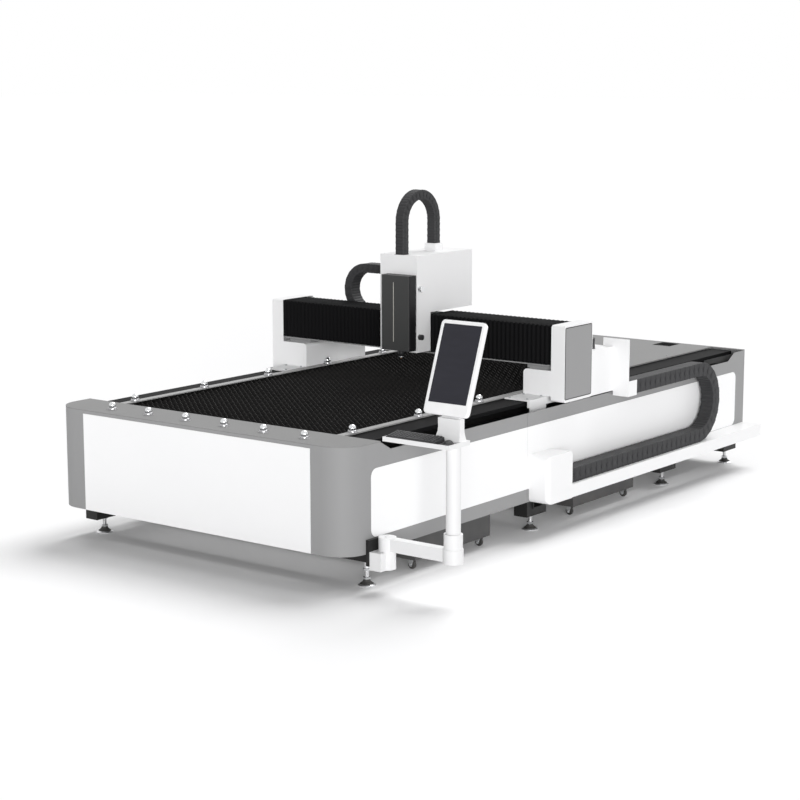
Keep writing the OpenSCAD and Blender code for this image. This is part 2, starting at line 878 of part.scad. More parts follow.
module carriage_cover() {
    color(WHITE) place() {
        difference() {
            xz(carriage_y, car_y1) polygon([
                [car_x0, carriage_z0], [gantry_x - 3, carriage_z0], [gantry_x - 3, car_over],
                [car_x1, car_over], [car_x1, carriage_z1], [car_x0, carriage_z1]
            ]);
            xz(carriage_y + house_t, car_y1 - house_t) polygon([
                [car_x0 + house_t, carriage_z0 - eps], [gantry_x + 20, carriage_z0 - eps],
                [gantry_x + 20, car_over + house_t], [car_x1 - house_t, car_over + house_t],
                [car_x1 - house_t, carriage_z1 - house_t], [car_x0 + house_t, carriage_z1 - house_t]
            ]);
            block([car_x0 - eps, car_x0 + house_t + eps], [neck_y[0] - 10, neck_y[1] + 10],
                [carriage_z0 - eps, neck_z[1] + z_up + 30]);
            block([z_chain_x - 5, z_chain_x + z_chain_t + 5], [z_chain_y - 6, z_chain_y + z_chain_w + 6],
                [carriage_z1 - 2 * house_t, carriage_z1 + eps]);
        }
        block([z_chain_x + 2 * z_chain_r - z_chain_t - 10, z_chain_x + 2 * z_chain_r + 10],
            [z_chain_y - 10, z_chain_y + z_chain_w + 10], [carriage_z1, carriage_z1 + stand_h]);
        knob(knob_z[1]);
    }
}

// A round knob on the right side of the carriage cover
module knob(z) {
    translate([knob_x, carriage_y, z]) rotate([90, 0, 0]) cylinder(d = 34, h = 24);
}

module z_rails() {
    color(STEEL) place() for (y = z_rail_y) block([plate_x - z_rail_d, plate_x],
        [y - z_rail_w / 2, y + z_rail_w / 2], [plate_z0, plate_z1]);
}

module z_motor() {
    color(DARK) place() {
        for (z = bearing_z) difference() {
            block([screw_x - 20, plate_x], [screw_y - 25, screw_y + 25], [z, z + bearing_h]);
            translate([screw_x, screw_y, z - eps]) cylinder(r = screw_r + run_gap, h = bearing_h + 2 * eps);
        }
        translate([screw_x, screw_y, bearing_z[1] + bearing_h]) difference() {
            cylinder(r = 35, h = plate_z1 + 35 - bearing_z[1] - bearing_h);
            translate([0, 0, -eps]) cylinder(r = screw_r + run_gap, h = 20 + eps);
        }
        knob(knob_z[0]);
    }
}

module head_slide() {
    nut_z = (slide_z[0] + slide_z[1]) / 2;
    color(STEEL) place() {
        block([slide_x, slide_x + slide_t], slide_y, slide_z);
        block([head_x1, slide_x + eps], neck_y, neck_z);
        for (y = z_rail_y, z = [slide_z[0] + 10, slide_z[1] - 80]) difference() {
            block([slide_x + slide_t - eps, plate_x - 8], [y - 18, y + 18], [z, z + 70]);
            block([plate_x - z_rail_d - clear, plate_x], [y - z_rail_w / 2 - clear, y + z_rail_w / 2 + clear],
                [z - eps, z + 70 + eps]);
        }
        difference() {
            block([slide_x + slide_t - eps, screw_x + 23], [screw_y - 25, screw_y + 25],
                [nut_z - 20, nut_z + 20]);
            translate([screw_x, screw_y, nut_z - 21]) cylinder(r = screw_r + run_gap, h = 42);
        }
        block([slide_x, slide_x + slide_t], [z_chain_y + 4, z_chain_y + z_chain_w - 4],
            [slide_z[1] - eps, z_chain_low - close_gap]);
        block([z_chain_x, slide_x + slide_t], [z_chain_y, z_chain_y + z_chain_w],
            [z_chain_low - 10, z_chain_low - close_gap]);
    }
}

module head_cover() {
    color(DARK) place() difference() {
        translate([0, 0, head_z0]) linear_extrude(head_h) head_outline(0);
        translate([0, 0, head_z0 + house_t]) linear_extrude(head_h - 2 * house_t) head_outline(house_t);
        translate([cutter_x, cutter_y, head_z0 - eps]) cylinder(r = cutter_low_r + 1, h = house_t + 2 * eps);
    }
}

module head_outline(inset) {
    rounded([head_x0 + inset, head_x1 - inset], [carriage_y + inset, head_y1 - inset], 10 - inset);
}

module cutting_head() {
    color(CHROME) place() {
        translate([cutter_x, cutter_y, head_z0 + 12]) cylinder(d = cutter_d, h = head_h - 60);
        translate([cutter_x, cutter_y, tip_z + 35]) cylinder(r = cutter_low_r, h = head_z0 + 13 - tip_z - 35);
        translate([cutter_x, cutter_y, tip_z + 10]) cylinder(r1 = 12, r2 = cutter_low_r, h = 25);
        block([cutter_x, head_x1 - house_t], [cutter_y - 20, cutter_y + 20], [head_z0 + 80, head_z0 + 140]);
        block([head_x0 - 2, head_x0], [cutter_y + 28, cutter_y + 32], [head_z0 + 55, head_z1 - 43]);
    }
}

module nozzle() {
    color("#b08d57") place() translate([cutter_x, cutter_y, tip_z]) difference() {
        cylinder(r1 = 4, r2 = 10, h = 10);
        translate([0, 0, -eps]) cylinder(r = 1.5, h = 10 + 2 * eps);
    }
}

module bellows_outline() {
    polygon([
        [gantry_x, bellows_z], [gantry_x + bellows_t, bellows_z],
        [gantry_x + bellows_t, bellows_top - bellows_t], [beam_x1 + 10, bellows_top - bellows_t],
        [beam_x1 + 10, bellows_top], [gantry_x, bellows_top]
    ]);
}

module bellows_left() {
    color(BLACK) place() xz(car_y1 + close_gap, bed_w - end_in - close_gap) bellows_outline();
}

module bellows_right() {
    color(BLACK) place() xz(end_in + close_gap, carriage_y - close_gap) bellows_outline();
}

// A chain in its plane: two runs joined by a half ring, with the bend's centre at c
module chain_outline(c, r, t, low_end, high_end) {
    difference() {
        translate(c) circle(r);
        translate(c) circle(r - t);
        translate([c[0] - 2 * r, c[1] - 2 * r]) square([2 * r, 4 * r]);
    }
    translate([low_end, c[1] - r]) square([c[0] - low_end, t]);
    translate([high_end, c[1] + r - t]) square([c[0] - high_end, t]);
}

module x_chain() {
    color(DARK) place() xz(x_chain_y, x_chain_y + x_chain_w)
        chain_outline([x_chain_bend, x_chain_z + x_chain_r], x_chain_r, x_chain_t, shelf_x + close_gap,
            bracket_x + 5 + close_gap);
}

module y_chain() {
    color(DARK) place() yz(y_chain_x, y_chain_x + y_chain_w)
        chain_outline([y_chain_bend, y_chain_cz], y_chain_r, y_chain_t, y_chain_fix, car_y1 + close_gap);
}

module z_chain() {
    color(DARK) place() xz(z_chain_y, z_chain_y + z_chain_w) {
        difference() {
            translate([z_chain_cx, z_chain_bend]) circle(z_chain_r);
            translate([z_chain_cx, z_chain_bend]) circle(z_chain_r - z_chain_t);
            translate([z_chain_cx - 2 * z_chain_r, z_chain_bend - 2 * z_chain_r])
                square([4 * z_chain_r, 2 * z_chain_r]);
        }
        translate([z_chain_x, z_chain_low]) square([z_chain_t, z_chain_bend - z_chain_low]);
        translate([z_chain_x + 2 * z_chain_r - z_chain_t, carriage_z1 + stand_h + close_gap])
            square([z_chain_t, z_chain_bend - carriage_z1 - stand_h - close_gap]);
    }
}

module pinion() {
    translate([pinion_x, pinion_y, rack_z - rack_h / 2 - 2]) cylinder(r = pinion_r, h = rack_h + 4);
    translate([pinion_x, pinion_y, rack_z]) cylinder(r = 12, h = base_z - close_gap - rack_z);
}

module pinion_right() {
    color(STEEL) place() pinion();
}

module pinion_left() {
    color(STEEL) place() translate([0, bed_w, 0]) mirror([0, 1, 0]) pinion();
}

module z_screw() {
    color(CHROME) place() translate([screw_x, screw_y, bearing_z[0]])
        cylinder(r = screw_r, h = bearing_z[1] + bearing_h + 15 - bearing_z[0]);
}

module console_arm() {
    color(WHITE) place() difference() {
        union() {
            translate([console_x, hinge_y, arm_z]) cylinder(r = hinge_r, h = arm_h);
            block([console_x - 28, console_x + 28], [post_y, hinge_y], [arm_z + 4, arm_top - 4]);
            translate([console_x, post_y, arm_z]) cylinder(r = post_d / 2 + 15, h = arm_h);
            translate([console_x, post_y, arm_top]) cylinder(r = post_d / 2 + 11, h = collar_h);
        }
        translate([console_x, hinge_y, arm_z - eps]) cylinder(r = pin_r + run_gap, h = arm_h + 2 * eps);
        translate([console_x, post_y, arm_z + 20]) cylinder(r = spigot_r + run_gap, h = arm_h + collar_h);
    }
}

module console_post() {
    color(WHITE) place() translate([console_x, post_y, arm_z + 20 + close_gap]) {
        cylinder(r = spigot_r, h = arm_h + collar_h - 20);
        translate([0, 0, arm_h + collar_h - 20])
            cylinder(d = post_d, h = desk_z - arm_top - collar_h - close_gap);
    }
}

// Outline of a foot that reaches out from the line x = 0 along a hollow arc of the height foot_rise
module hollow_foot(reach) {
    arc_r = (reach * reach + foot_rise * foot_rise) / (2 * reach);
    difference() {
        translate([-eps, 0]) square([reach + eps, foot_rise]);
        translate([arc_r, foot_rise]) circle(arc_r);
    }
}

module console_desk() {
    stand_y = [screen_y - stand_w / 2, screen_y + stand_w / 2];
    neck_top = desk_top + neck_h;
    neck_y0 = stand_y[0] - neck_side;
    neck_y1 = stand_y[1] + neck_side;
    neck_x1 = tilt_x + barrel_r - 3;
    neck_x0 = neck_x1 - neck_t;
    color(WHITE) place() {
        difference() {
            block([desk_x, desk_x + desk_l], [desk_y0, desk_y1], [desk_z, desk_top]);
            block([desk_x + 6, desk_x + 6 + tray_l], [desk_y0 + 6, desk_y1 - 6],
                [desk_top - 12, desk_top + eps]);
        }
        block([tilt_x - barrel_r, tilt_x + barrel_r], stand_y, [neck_top - eps, tilt_z]);
        intersection() {
            xz(neck_y0 - foot_flare, neck_y1 + foot_flare) {
                translate([neck_x0, desk_top - eps]) square([neck_t, neck_h + eps]);
                translate([neck_x0, desk_top - eps]) mirror([1, 0]) hollow_foot(foot_reach);
            }
            yz(neck_x0 - foot_reach, neck_x1) {
                translate([neck_y0, desk_top - eps]) square([neck_y1 - neck_y0, neck_h + eps]);
                translate([neck_y1, desk_top - eps]) hollow_foot(foot_flare);
                translate([neck_y0, desk_top - eps]) mirror([1, 0]) hollow_foot(foot_flare);
            }
        }
        translate([tilt_x, stand_y[1], tilt_z]) rotate([90, 0, 0]) cylinder(r = barrel_r, h = stand_w);
        translate([tilt_x, stand_y[1] + 16, tilt_z]) rotate([90, 0, 0])
            cylinder(r = tilt_pin_r, h = stand_w + 32);
    }
}

module keyboard() {
    color(BLACK) place() {
        xz(desk_y0 + 100, desk_y1 - 10) polygon([
            [desk_x + 10, desk_top - 12], [desk_x + 10 + keys_l, desk_top - 12],
            [desk_x + 10 + keys_l, desk_top + keys_high], [desk_x + 10, desk_top + keys_low]
        ]);
        block([desk_x + 12, desk_x + 10 + keys_l], [desk_y0 + 20, desk_y0 + 80],
            [desk_top - 12, desk_top + 16]);
    }
}

// Stands its child, drawn with its lower front edge at the origin, up to the monitor's lean
module leaning() {
    translate([screen_x, screen_y0, screen_z]) rotate([0, monitor_lean, 0]) children();
}

module monitor() {
    lug_y = [monitor_w / 2 - stand_w / 2 - 14, monitor_w / 2 + stand_w / 2 + 2];
    color(WHITE) place() leaning() {
        difference() {
            block([0, monitor_t], [0, monitor_w], [0, monitor_h]);
            block([-eps, 2], [screen_v[0] - close_gap, screen_v[1] + close_gap],
                [screen_u[0] - close_gap, screen_u[1] + close_gap]);
        }
        for (y = lug_y) difference() {
            block([monitor_t - eps, lug_n + 14], [y, y + 12], [lug_u - 16, lug_u + 16]);
            translate([lug_n, y + 12 + eps, lug_u]) rotate([90, 0, 0])
                cylinder(r = tilt_pin_r + run_gap, h = 12 + 2 * eps);
        }
    }
}

module display() {
    color("#35353b") place() leaning()
        block([0, 2], screen_v, screen_u);
}

function wheel_x(x) = [x + caster_in, x + cart_l - caster_in];

module cart(x) {
    difference() {
        block([x, x + cart_l], [cart_inset, bed_w - cart_inset], [cart_z, cart_top]);
        block([x + cart_t, x + cart_l - cart_t], [cart_inset + cart_t, bed_w - cart_inset - cart_t],
            [cart_z + cart_t, cart_top + eps]);
    }
    for (wx = wheel_x(x), wy = caster_y) translate([wx, wy, 0]) {
        for (side = [-1, 1]) translate([side * (wheel_w / 2 + 3), 0, 0])
            block([-2, 2], [-12, 12], [wheel_d / 2 - 8, cart_z + eps]);
        translate([-wheel_w / 2 - 3, 0, wheel_d / 2]) rotate([0, 90, 0]) cylinder(r = 5, h = wheel_w + 6);
    }
}

module wheels(x, y) {
    for (wx = wheel_x(x)) translate([wx - wheel_w / 2, y, wheel_d / 2]) rotate([0, 90, 0]) difference() {
        cylinder(d = wheel_d, h = wheel_w);
        translate([0, 0, -eps]) cylinder(r = 5 + run_gap, h = wheel_w + 2 * eps);
    }
}

module cart_front() {
    color(DARK) place() cart(cart_x[0]);
}

module cart_rear() {
    color(DARK) place() cart(cart_x[1]);
}

module cart_front_wheels_a() {
    color(BLACK) place() wheels(cart_x[0], caster_y[0]);
}

module cart_front_wheels_b() {
    color(BLACK) place() wheels(cart_x[0], caster_y[1]);
}

module cart_rear_wheels_a() {
    color(BLACK) place() wheels(cart_x[1], caster_y[0]);
}

module cart_rear_wheels_b() {
    color(BLACK) place() wheels(cart_x[1], caster_y[1]);
}

cross_beams();
bed_beams();
table_frame();
slats();
front_cover();
side_covers();
rear_cover();
front_panel();
side_panels();
front_flange();
rear_deck();
ball_cups();
transfer_balls();
rail_covers();
linear_rails();
racks();
foot_pads();
foot_cones();
chain_shelf();
chain_box();
console_mount();
console_bracket();
gantry_beam();
beam_rails();
base_plates();
slider_blocks();
leg_boxes();
end_covers();
end_panels();
drive_boxes();
chain_bracket();
x_motors();
carriage_plate();
carriage_cover();
z_rails();
z_motor();
head_slide();
head_cover();
cutting_head();
nozzle();
bellows_left();
bellows_right();
x_chain();
y_chain();
z_chain();
pinion_right();
pinion_left();
z_screw();
console_arm();
console_post();
console_desk();
keyboard();
monitor();
display();
cart_front();
cart_rear();
cart_front_wheels_a();
cart_front_wheels_b();
cart_rear_wheels_a();
cart_rear_wheels_b();
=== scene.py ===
"""Looks of a flat-bed cutting machine, dressed over its CAD frame.

Lengths in the piece functions are millimetres from the front right corner of the bed covers on the floor;
to_frame turns them into the frame's metres. A shape is a tuple of points, quads and flat caps.
"""
import math

import bmesh
import bpy
import numpy as np
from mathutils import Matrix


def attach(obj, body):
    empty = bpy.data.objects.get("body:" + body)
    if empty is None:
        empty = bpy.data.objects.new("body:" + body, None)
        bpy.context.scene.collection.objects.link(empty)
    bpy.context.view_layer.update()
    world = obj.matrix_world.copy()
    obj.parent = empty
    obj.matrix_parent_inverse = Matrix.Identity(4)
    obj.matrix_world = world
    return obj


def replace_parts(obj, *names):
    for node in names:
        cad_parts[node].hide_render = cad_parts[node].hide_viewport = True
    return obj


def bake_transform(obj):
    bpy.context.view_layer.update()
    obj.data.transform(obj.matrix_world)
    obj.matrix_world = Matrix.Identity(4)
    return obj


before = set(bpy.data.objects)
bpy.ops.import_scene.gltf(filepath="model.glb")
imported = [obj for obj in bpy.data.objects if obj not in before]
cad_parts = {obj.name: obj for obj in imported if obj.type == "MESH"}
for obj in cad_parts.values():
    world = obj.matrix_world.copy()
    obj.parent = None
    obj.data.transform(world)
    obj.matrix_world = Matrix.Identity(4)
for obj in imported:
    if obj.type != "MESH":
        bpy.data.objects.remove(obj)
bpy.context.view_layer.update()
BED_CORNER = np.array([2219.0, 833.5, 0.0])
BED_WIDTH = 2200.0
BED_MIDDLE = BED_WIDTH / 2
BED_TOP = 806.0


def to_frame(points):
    """Bed millimetres to the frame's metres: the bed corner is taken off and the rest divided by 1000."""
    return (np.asarray(points, float) - BED_CORNER) / 1000.0


# Shapes

LEAST_CORNER = 0.4


def grid_quads(rows, columns, wrap_rows=False, wrap_columns=False):
    """Quads between neighbours on a grid; a wrapped direction joins its last line to its first."""
    row_steps = np.arange(rows if wrap_rows else rows - 1)
    column_steps = np.arange(columns if wrap_columns else columns - 1)
    r, c = np.meshgrid(row_steps, column_steps, indexing="ij")
    r1, c1 = (r + 1) % rows, (c + 1) % columns
    corners = [r * columns + c, r1 * columns + c, r1 * columns + c1, r * columns + c1]
    return np.stack(corners, -1).reshape(-1, 4)


def skin(rings):
    """Closed skin over an array of rings by points by 3: quads from ring to ring, a cap on each end."""
    count, size = rings.shape[:2]
    caps = [list(range(size)), list(range((count - 1) * size, count * size))]
    return rings.reshape(-1, 3), grid_quads(count, size, wrap_columns=True), caps


def hoop(rings):
    """Closed skin over rings that form a hoop, so the last ring joins the first."""
    count, size = rings.shape[:2]
    return rings.reshape(-1, 3), grid_quads(count, size, True, True), []


def joined(shapes):
    """Several shapes as one: their points one after another, with the face numbers moved on."""
    shapes = list(shapes)
    starts = np.cumsum([0] + [len(s[0]) for s in shapes])
    points = np.concatenate([s[0] for s in shapes])
    quads = np.concatenate([s[1] + k for s, k in zip(shapes, starts)])
    caps = [[i + int(k) for i in cap] for s, k in zip(shapes, starts) for cap in s[2]]
    return points, quads, caps


def moved(shape, offset):
    """Shape with its points moved by an offset."""
    return shape[0] + np.asarray(offset, float), shape[1], shape[2]


def turned(profile, count=24, axis="z", ridges=0.0):
    """Profile of radius and height turned round an axis: x = r cos a, y = r sin a, z = h.

    Ridges is the depth of flutes on the skin, one to every second point.
    """
    profile = np.asarray(profile, float)
    a = np.arange(count) * 2 * np.pi / count
    r = profile[:, :1] - ridges * (np.arange(count) % 2)
    h = np.repeat(profile[:, 1:], count, 1)
    ring = {"z": (r * np.cos(a), r * np.sin(a), h), "y": (r * np.sin(a), h, r * np.cos(a)),
            "x": (h, r * np.cos(a), r * np.sin(a))}[axis]
    return skin(np.stack(ring, -1))


def rounded_outline(low, high, radius, steps=6):
    """Outline of a rectangle with round corners: a quarter circle about each corner's centre."""
    (x0, y0), (x1, y1) = low, high
    centres = np.array([[x1 - radius, y1 - radius], [x0 + radius, y1 - radius],
                        [x0 + radius, y0 + radius], [x1 - radius, y0 + radius]])
    a = np.arange(4)[:, None] * np.pi / 2 + np.linspace(0, np.pi / 2, steps)
    arc = radius * np.stack([np.cos(a), np.sin(a)], -1)
    return (centres[:, None] + arc).reshape(-1, 2)


def slab(low, high, radius, levels, steps=6):
    """Slab with round corners: its outline drawn in by each level's inset and set at each level's height."""
    rings = []
    for inset, height in levels:
        corner = max(radius - inset, LEAST_CORNER)
        outline = rounded_outline(np.add(low, inset), np.subtract(high, inset), corner, steps)
        rings.append(np.column_stack([outline, np.full(len(outline), height)]))
    return skin(np.array(rings))


def add_piece(name, shape, finish, sharp=32.0):
    """Mesh object from a shape: normals outwards, smooth except at edges sharper than the angle."""
    points, quads, caps = shape
    mesh = bpy.data.meshes.new(name)
    mesh.from_pydata(to_frame(points).tolist(), [], quads.tolist() + caps)
    work = bmesh.new()
    work.from_mesh(mesh)
    bmesh.ops.recalc_face_normals(work, faces=work.faces)
    work.to_mesh(mesh)
    work.free()
    mesh.polygons.foreach_set("use_smooth", np.ones(len(mesh.polygons), bool))
    mesh.set_sharp_from_angle(angle=math.radians(sharp))
    mesh.materials.append(finish)
    piece = bpy.data.objects.new(name, mesh)
    bpy.context.collection.objects.link(piece)
    return piece


# Camera and studio

def aim_camera():
    """Camera at the photograph's place: yaw and pitch turn its view from level along the bed."""
    yaw, pitch, roll = np.radians([37.241, 9.915, 0.057])
    data = bpy.data.cameras.new("photo_camera")
    data.sensor_fit = "HORIZONTAL"
    data.sensor_width = 36.0
    data.lens = 86.904
    data.clip_end = 300.0
    camera = bpy.data.objects.new("photo_camera", data)
    bpy.context.collection.objects.link(camera)
    camera.location = (-9.8658, -6.9984, 2.7835)
    camera.rotation_mode = "XYZ"
    camera.rotation_euler = (math.pi / 2 - pitch, roll, yaw - math.pi / 2)
    bpy.context.scene.camera = camera


def distant_lamp(name, aim, strength, spread):
    """A sun lamp that shines along aim, with soft shadows from its spread in degrees."""
    data = bpy.data.lights.new(name, "SUN")
    data.energy = strength
    data.angle = math.radians(spread)
    lamp = bpy.data.objects.new(name, data)
    bpy.context.collection.objects.link(lamp)
    turn = math.atan2(aim[1], aim[0]) - math.pi / 2
    lamp.rotation_euler = (math.atan2(math.hypot(aim[0], aim[1]), -aim[2]), 0.0, turn)


def seen_rays(nodes, links):
    """Socket that is 1 for rays of the camera, of gloss and of glass, and 0 for rays that carry light."""
    path = nodes.new("ShaderNodeLightPath")
    total = path.outputs["Is Camera Ray"]
    for ray in ("Is Glossy Ray", "Is Transmission Ray"):
        either = nodes.new("ShaderNodeMath")
        either.operation = "MAXIMUM"
        links.new(total, either.inputs[0])
        links.new(path.outputs[ray], either.inputs[1])
        total = either.outputs[0]
    return total


def studio_sky(strength):
    """Even white sky for light, plain white where it is seen."""
    world = bpy.data.worlds.new("studio_sky")
    bpy.context.scene.world = world
    world.use_nodes = True
    nodes, links = world.node_tree.nodes, world.node_tree.links
    nodes.clear()
    out = nodes.new("ShaderNodeOutputWorld")
    mix = nodes.new("ShaderNodeMixShader")
    links.new(seen_rays(nodes, links), mix.inputs[0])
    for socket, level in ((1, strength), (2, 1.0)):
        glow = nodes.new("ShaderNodeBackground")
        glow.inputs["Color"].default_value = (1.0, 1.0, 1.0, 1.0)
        glow.inputs["Strength"].default_value = level
        links.new(glow.outputs[0], mix.inputs[socket])
    links.new(mix.outputs[0], out.inputs[0])


def studio_floor(colour, lift):
    """Pale matt floor that keeps the shadows, lifted towards white where it is seen."""
    side = 120.0
    mesh = bpy.data.meshes.new("studio_floor")
    corners = [(-side, -side, 0), (side, -side, 0), (side, side, 0), (-side, side, 0)]
    mesh.from_pydata(corners, [], [(0, 1, 2, 3)])
    floor = bpy.data.objects.new("studio_floor", mesh)
    bpy.context.collection.objects.link(floor)
    paper = bpy.data.materials.new("studio_paper")
    paper.use_nodes = True
    nodes, links = paper.node_tree.nodes, paper.node_tree.links
    nodes.clear()
    out = nodes.new("ShaderNodeOutputMaterial")
    both = nodes.new("ShaderNodeAddShader")
    matt = nodes.new("ShaderNodeBsdfDiffuse")
    matt.inputs["Color"].default_value = (*colour, 1.0)
    glow = nodes.new("ShaderNodeEmission")
    level = nodes.new("ShaderNodeMath")
    level.operation = "MULTIPLY"
    level.inputs[1].default_value = lift
    links.new(seen_rays(nodes, links), level.inputs[0])
    links.new(level.outputs[0], glow.inputs["Strength"])
    links.new(matt.outputs[0], both.inputs[0])
    links.new(glow.outputs[0], both.inputs[1])
    links.new(both.outputs[0], out.inputs[0])
    mesh.materials.append(paper)


# Finishes

def new_group(name, inputs, outputs):
    """Shader node group with named sockets; returns the group, its nodes, links and two ends."""
    group = bpy.data.node_groups.new(name, "ShaderNodeTree")
    for label, kind in inputs:
        group.interface.new_socket(label, in_out="INPUT", socket_type=kind)
    for label, kind in outputs:
        group.interface.new_socket(label, in_out="OUTPUT", socket_type=kind)
    nodes = group.nodes
    return group, nodes, group.links, nodes.new("NodeGroupInput"), nodes.new("NodeGroupOutput")


VALUE, COLOUR, VECTOR = "NodeSocketFloat", "NodeSocketColor", "NodeSocketVector"
SURFACE = [("Colour", COLOUR), ("Roughness", VALUE), ("Height", VALUE)]


def math_node(nodes, links, operation, *sources, clamp=False):
    """Math node fed by sockets or plain numbers."""
    node = nodes.new("ShaderNodeMath")
    node.operation = operation
    node.use_clamp = clamp
    for k, source in enumerate(sources):
        if isinstance(source, (int, float)):
            node.inputs[k].default_value = source
        else:
            links.new(source, node.inputs[k])
    return node.outputs[0]


def noise(nodes, links, vector, scale, detail=2.0):
    """Noise texture on a vector; scale is a number or a socket."""
    node = nodes.new("ShaderNodeTexNoise")
    node.inputs["Detail"].default_value = detail
    links.new(vector, node.inputs["Vector"])
    if isinstance(scale, (int, float)):
        node.inputs["Scale"].default_value = scale
    else:
        links.new(scale, node.inputs["Scale"])
    return node.outputs["Fac"]


def mixed(nodes, links, mask, first, second):
    """Colour between two colours by a mask; the colours are sockets or tuples."""
    node = nodes.new("ShaderNodeMix")
    node.data_type = "RGBA"
    links.new(mask, node.inputs["Factor"])
    for socket, source in ((node.inputs[6], first), (node.inputs[7], second)):
        if isinstance(source, tuple):
            socket.default_value = (*source, 1.0)
        else:
            links.new(source, socket)
    return node.outputs[2]


def shaded(nodes, links, colour, tone):
    """Colour made lighter or darker: each channel times the tone."""
    node = nodes.new("ShaderNodeVectorMath")
    node.operation = "SCALE"
    links.new(colour, node.inputs[0])
    links.new(tone, node.inputs["Scale"])
    return node.outputs[0]


def give_surface(links, end, colour, rough, height):
    """Joins a group's results to its surface outputs."""
    for (label, _), source in zip(SURFACE, (colour, rough, height)):
        links.new(source, end.inputs[label])


def make_coat_grain():
    """Sprayed coat: cloudy tone, and a fine orange peel for gloss and bump."""
    inputs = [("Colour", COLOUR), ("Cloud", VALUE), ("Grain", VALUE), ("Gloss", VALUE), ("Spread", VALUE)]
    group, nodes, links, start, end = new_group("coat_grain", inputs, SURFACE)
    place = nodes.new("ShaderNodeTexCoord").outputs["Object"]
    peel = noise(nodes, links, place, start.outputs["Grain"])
    cloud = noise(nodes, links, place, 2.3, 4.0)
    swing = math_node(nodes, links, "SUBTRACT", cloud, 0.5)
    tone = math_node(nodes, links, "MULTIPLY_ADD", swing, start.outputs["Cloud"], 1.0)
    shade = shaded(nodes, links, start.outputs["Colour"], tone)
    ripple = math_node(nodes, links, "SUBTRACT", peel, 0.5)
    rough = math_node(nodes, links, "MULTIPLY_ADD", ripple, start.outputs["Spread"], start.outputs["Gloss"])
    give_surface(links, end, shade, rough, peel)
    return group


def make_settled_dust():
    """Dust on faces that look up and near the floor: a patchy mask mixed towards a warm grey."""
    inputs = [("Colour", COLOUR), ("Amount", VALUE), ("Reach", VALUE)]
    group, nodes, links, start, end = new_group("settled_dust", inputs, [("Colour", COLOUR)])
    place = nodes.new("ShaderNodeTexCoord").outputs["Object"]
    split = nodes.new("ShaderNodeSeparateXYZ")
    links.new(place, split.inputs[0])
    low = math_node(nodes, links, "DIVIDE", split.outputs["Z"], start.outputs["Reach"])
    low = math_node(nodes, links, "SUBTRACT", 1.0, low, clamp=True)
    facing = nodes.new("ShaderNodeSeparateXYZ")
    links.new(nodes.new("ShaderNodeNewGeometry").outputs["Normal"], facing.inputs[0])
    up = math_node(nodes, links, "MULTIPLY", facing.outputs["Z"], 0.35, clamp=True)
    where = math_node(nodes, links, "MAXIMUM", low, up)
    patch = noise(nodes, links, place, 7.0, 6.0)
    patch = math_node(nodes, links, "MULTIPLY_ADD", patch, 2.4, -0.7, clamp=True)
    mask = math_node(nodes, links, "MULTIPLY", where, patch)
    mask = math_node(nodes, links, "MULTIPLY", mask, start.outputs["Amount"], clamp=True)
    warm_grey = (0.42, 0.40, 0.37)
    links.new(mixed(nodes, links, mask, start.outputs["Colour"], warm_grey), end.inputs["Colour"])
    return group


def make_ground_lines():
    """Ground or brushed metal: noise drawn out along one direction by the stretch vector."""
    inputs = [("Colour", COLOUR), ("Stretch", VECTOR), ("Gloss", VALUE), ("Spread", VALUE)]
    group, nodes, links, start, end = new_group("ground_lines", inputs, SURFACE)
    pull = nodes.new("ShaderNodeVectorMath")
    pull.operation = "MULTIPLY"
    links.new(nodes.new("ShaderNodeTexCoord").outputs["Object"], pull.inputs[0])
    links.new(start.outputs["Stretch"], pull.inputs[1])
    lines = noise(nodes, links, pull.outputs[0], 1.0, 3.0)
    swing = math_node(nodes, links, "SUBTRACT", lines, 0.5)
    rough = math_node(nodes, links, "MULTIPLY_ADD", swing, start.outputs["Spread"], start.outputs["Gloss"])
    tone = math_node(nodes, links, "MULTIPLY_ADD", swing, 0.35, 1.0)
    shade = shaded(nodes, links, start.outputs["Colour"], tone)
    give_surface(links, end, shade, rough, lines)
    return group


def make_moulded_skin():
    """Moulded plastic or rubber: small rounded cells for bump, and a soft patchiness of gloss."""
    inputs = [("Colour", COLOUR), ("Cells", VALUE), ("Gloss", VALUE)]
    group, nodes, links, start, end = new_group("moulded_skin", inputs, SURFACE)
    place = nodes.new("ShaderNodeTexCoord").outputs["Object"]
    cells = nodes.new("ShaderNodeTexVoronoi")
    cells.feature = "SMOOTH_F1"
    links.new(place, cells.inputs["Vector"])
    links.new(start.outputs["Cells"], cells.inputs["Scale"])
    patch = noise(nodes, links, place, 9.0, 5.0)
    swing = math_node(nodes, links, "SUBTRACT", patch, 0.5)
    rough = math_node(nodes, links, "MULTIPLY_ADD", swing, 0.22, start.outputs["Gloss"])
    tone = math_node(nodes, links, "MULTIPLY_ADD", swing, 0.25, 1.0)
    shade = shaded(nodes, links, start.outputs["Colour"], tone)
    give_surface(links, end, shade, rough, cells.outputs["Distance"])
    return group


COAT = make_coat_grain()
DUST = make_settled_dust()
GROUND = make_ground_lines()
MOULDED = make_moulded_skin()


def new_finish(name):
    """Empty material with its nodes, links and shader."""
    material = bpy.data.materials.new(name)
    material.use_nodes = True
    nodes, links = material.node_tree.nodes, material.node_tree.links
    return material, nodes, links, nodes["Principled BSDF"]


def use_group(nodes, group, colour, **values):
    """Places a node group in a material with its own values; colour is None where a socket feeds it."""
    node = nodes.new("ShaderNodeGroup")
    node.node_tree = group
    if colour:
        node.inputs["Colour"].default_value = (*colour, 1.0)
    for label, value in values.items():
        node.inputs[label].default_value = value
    return node


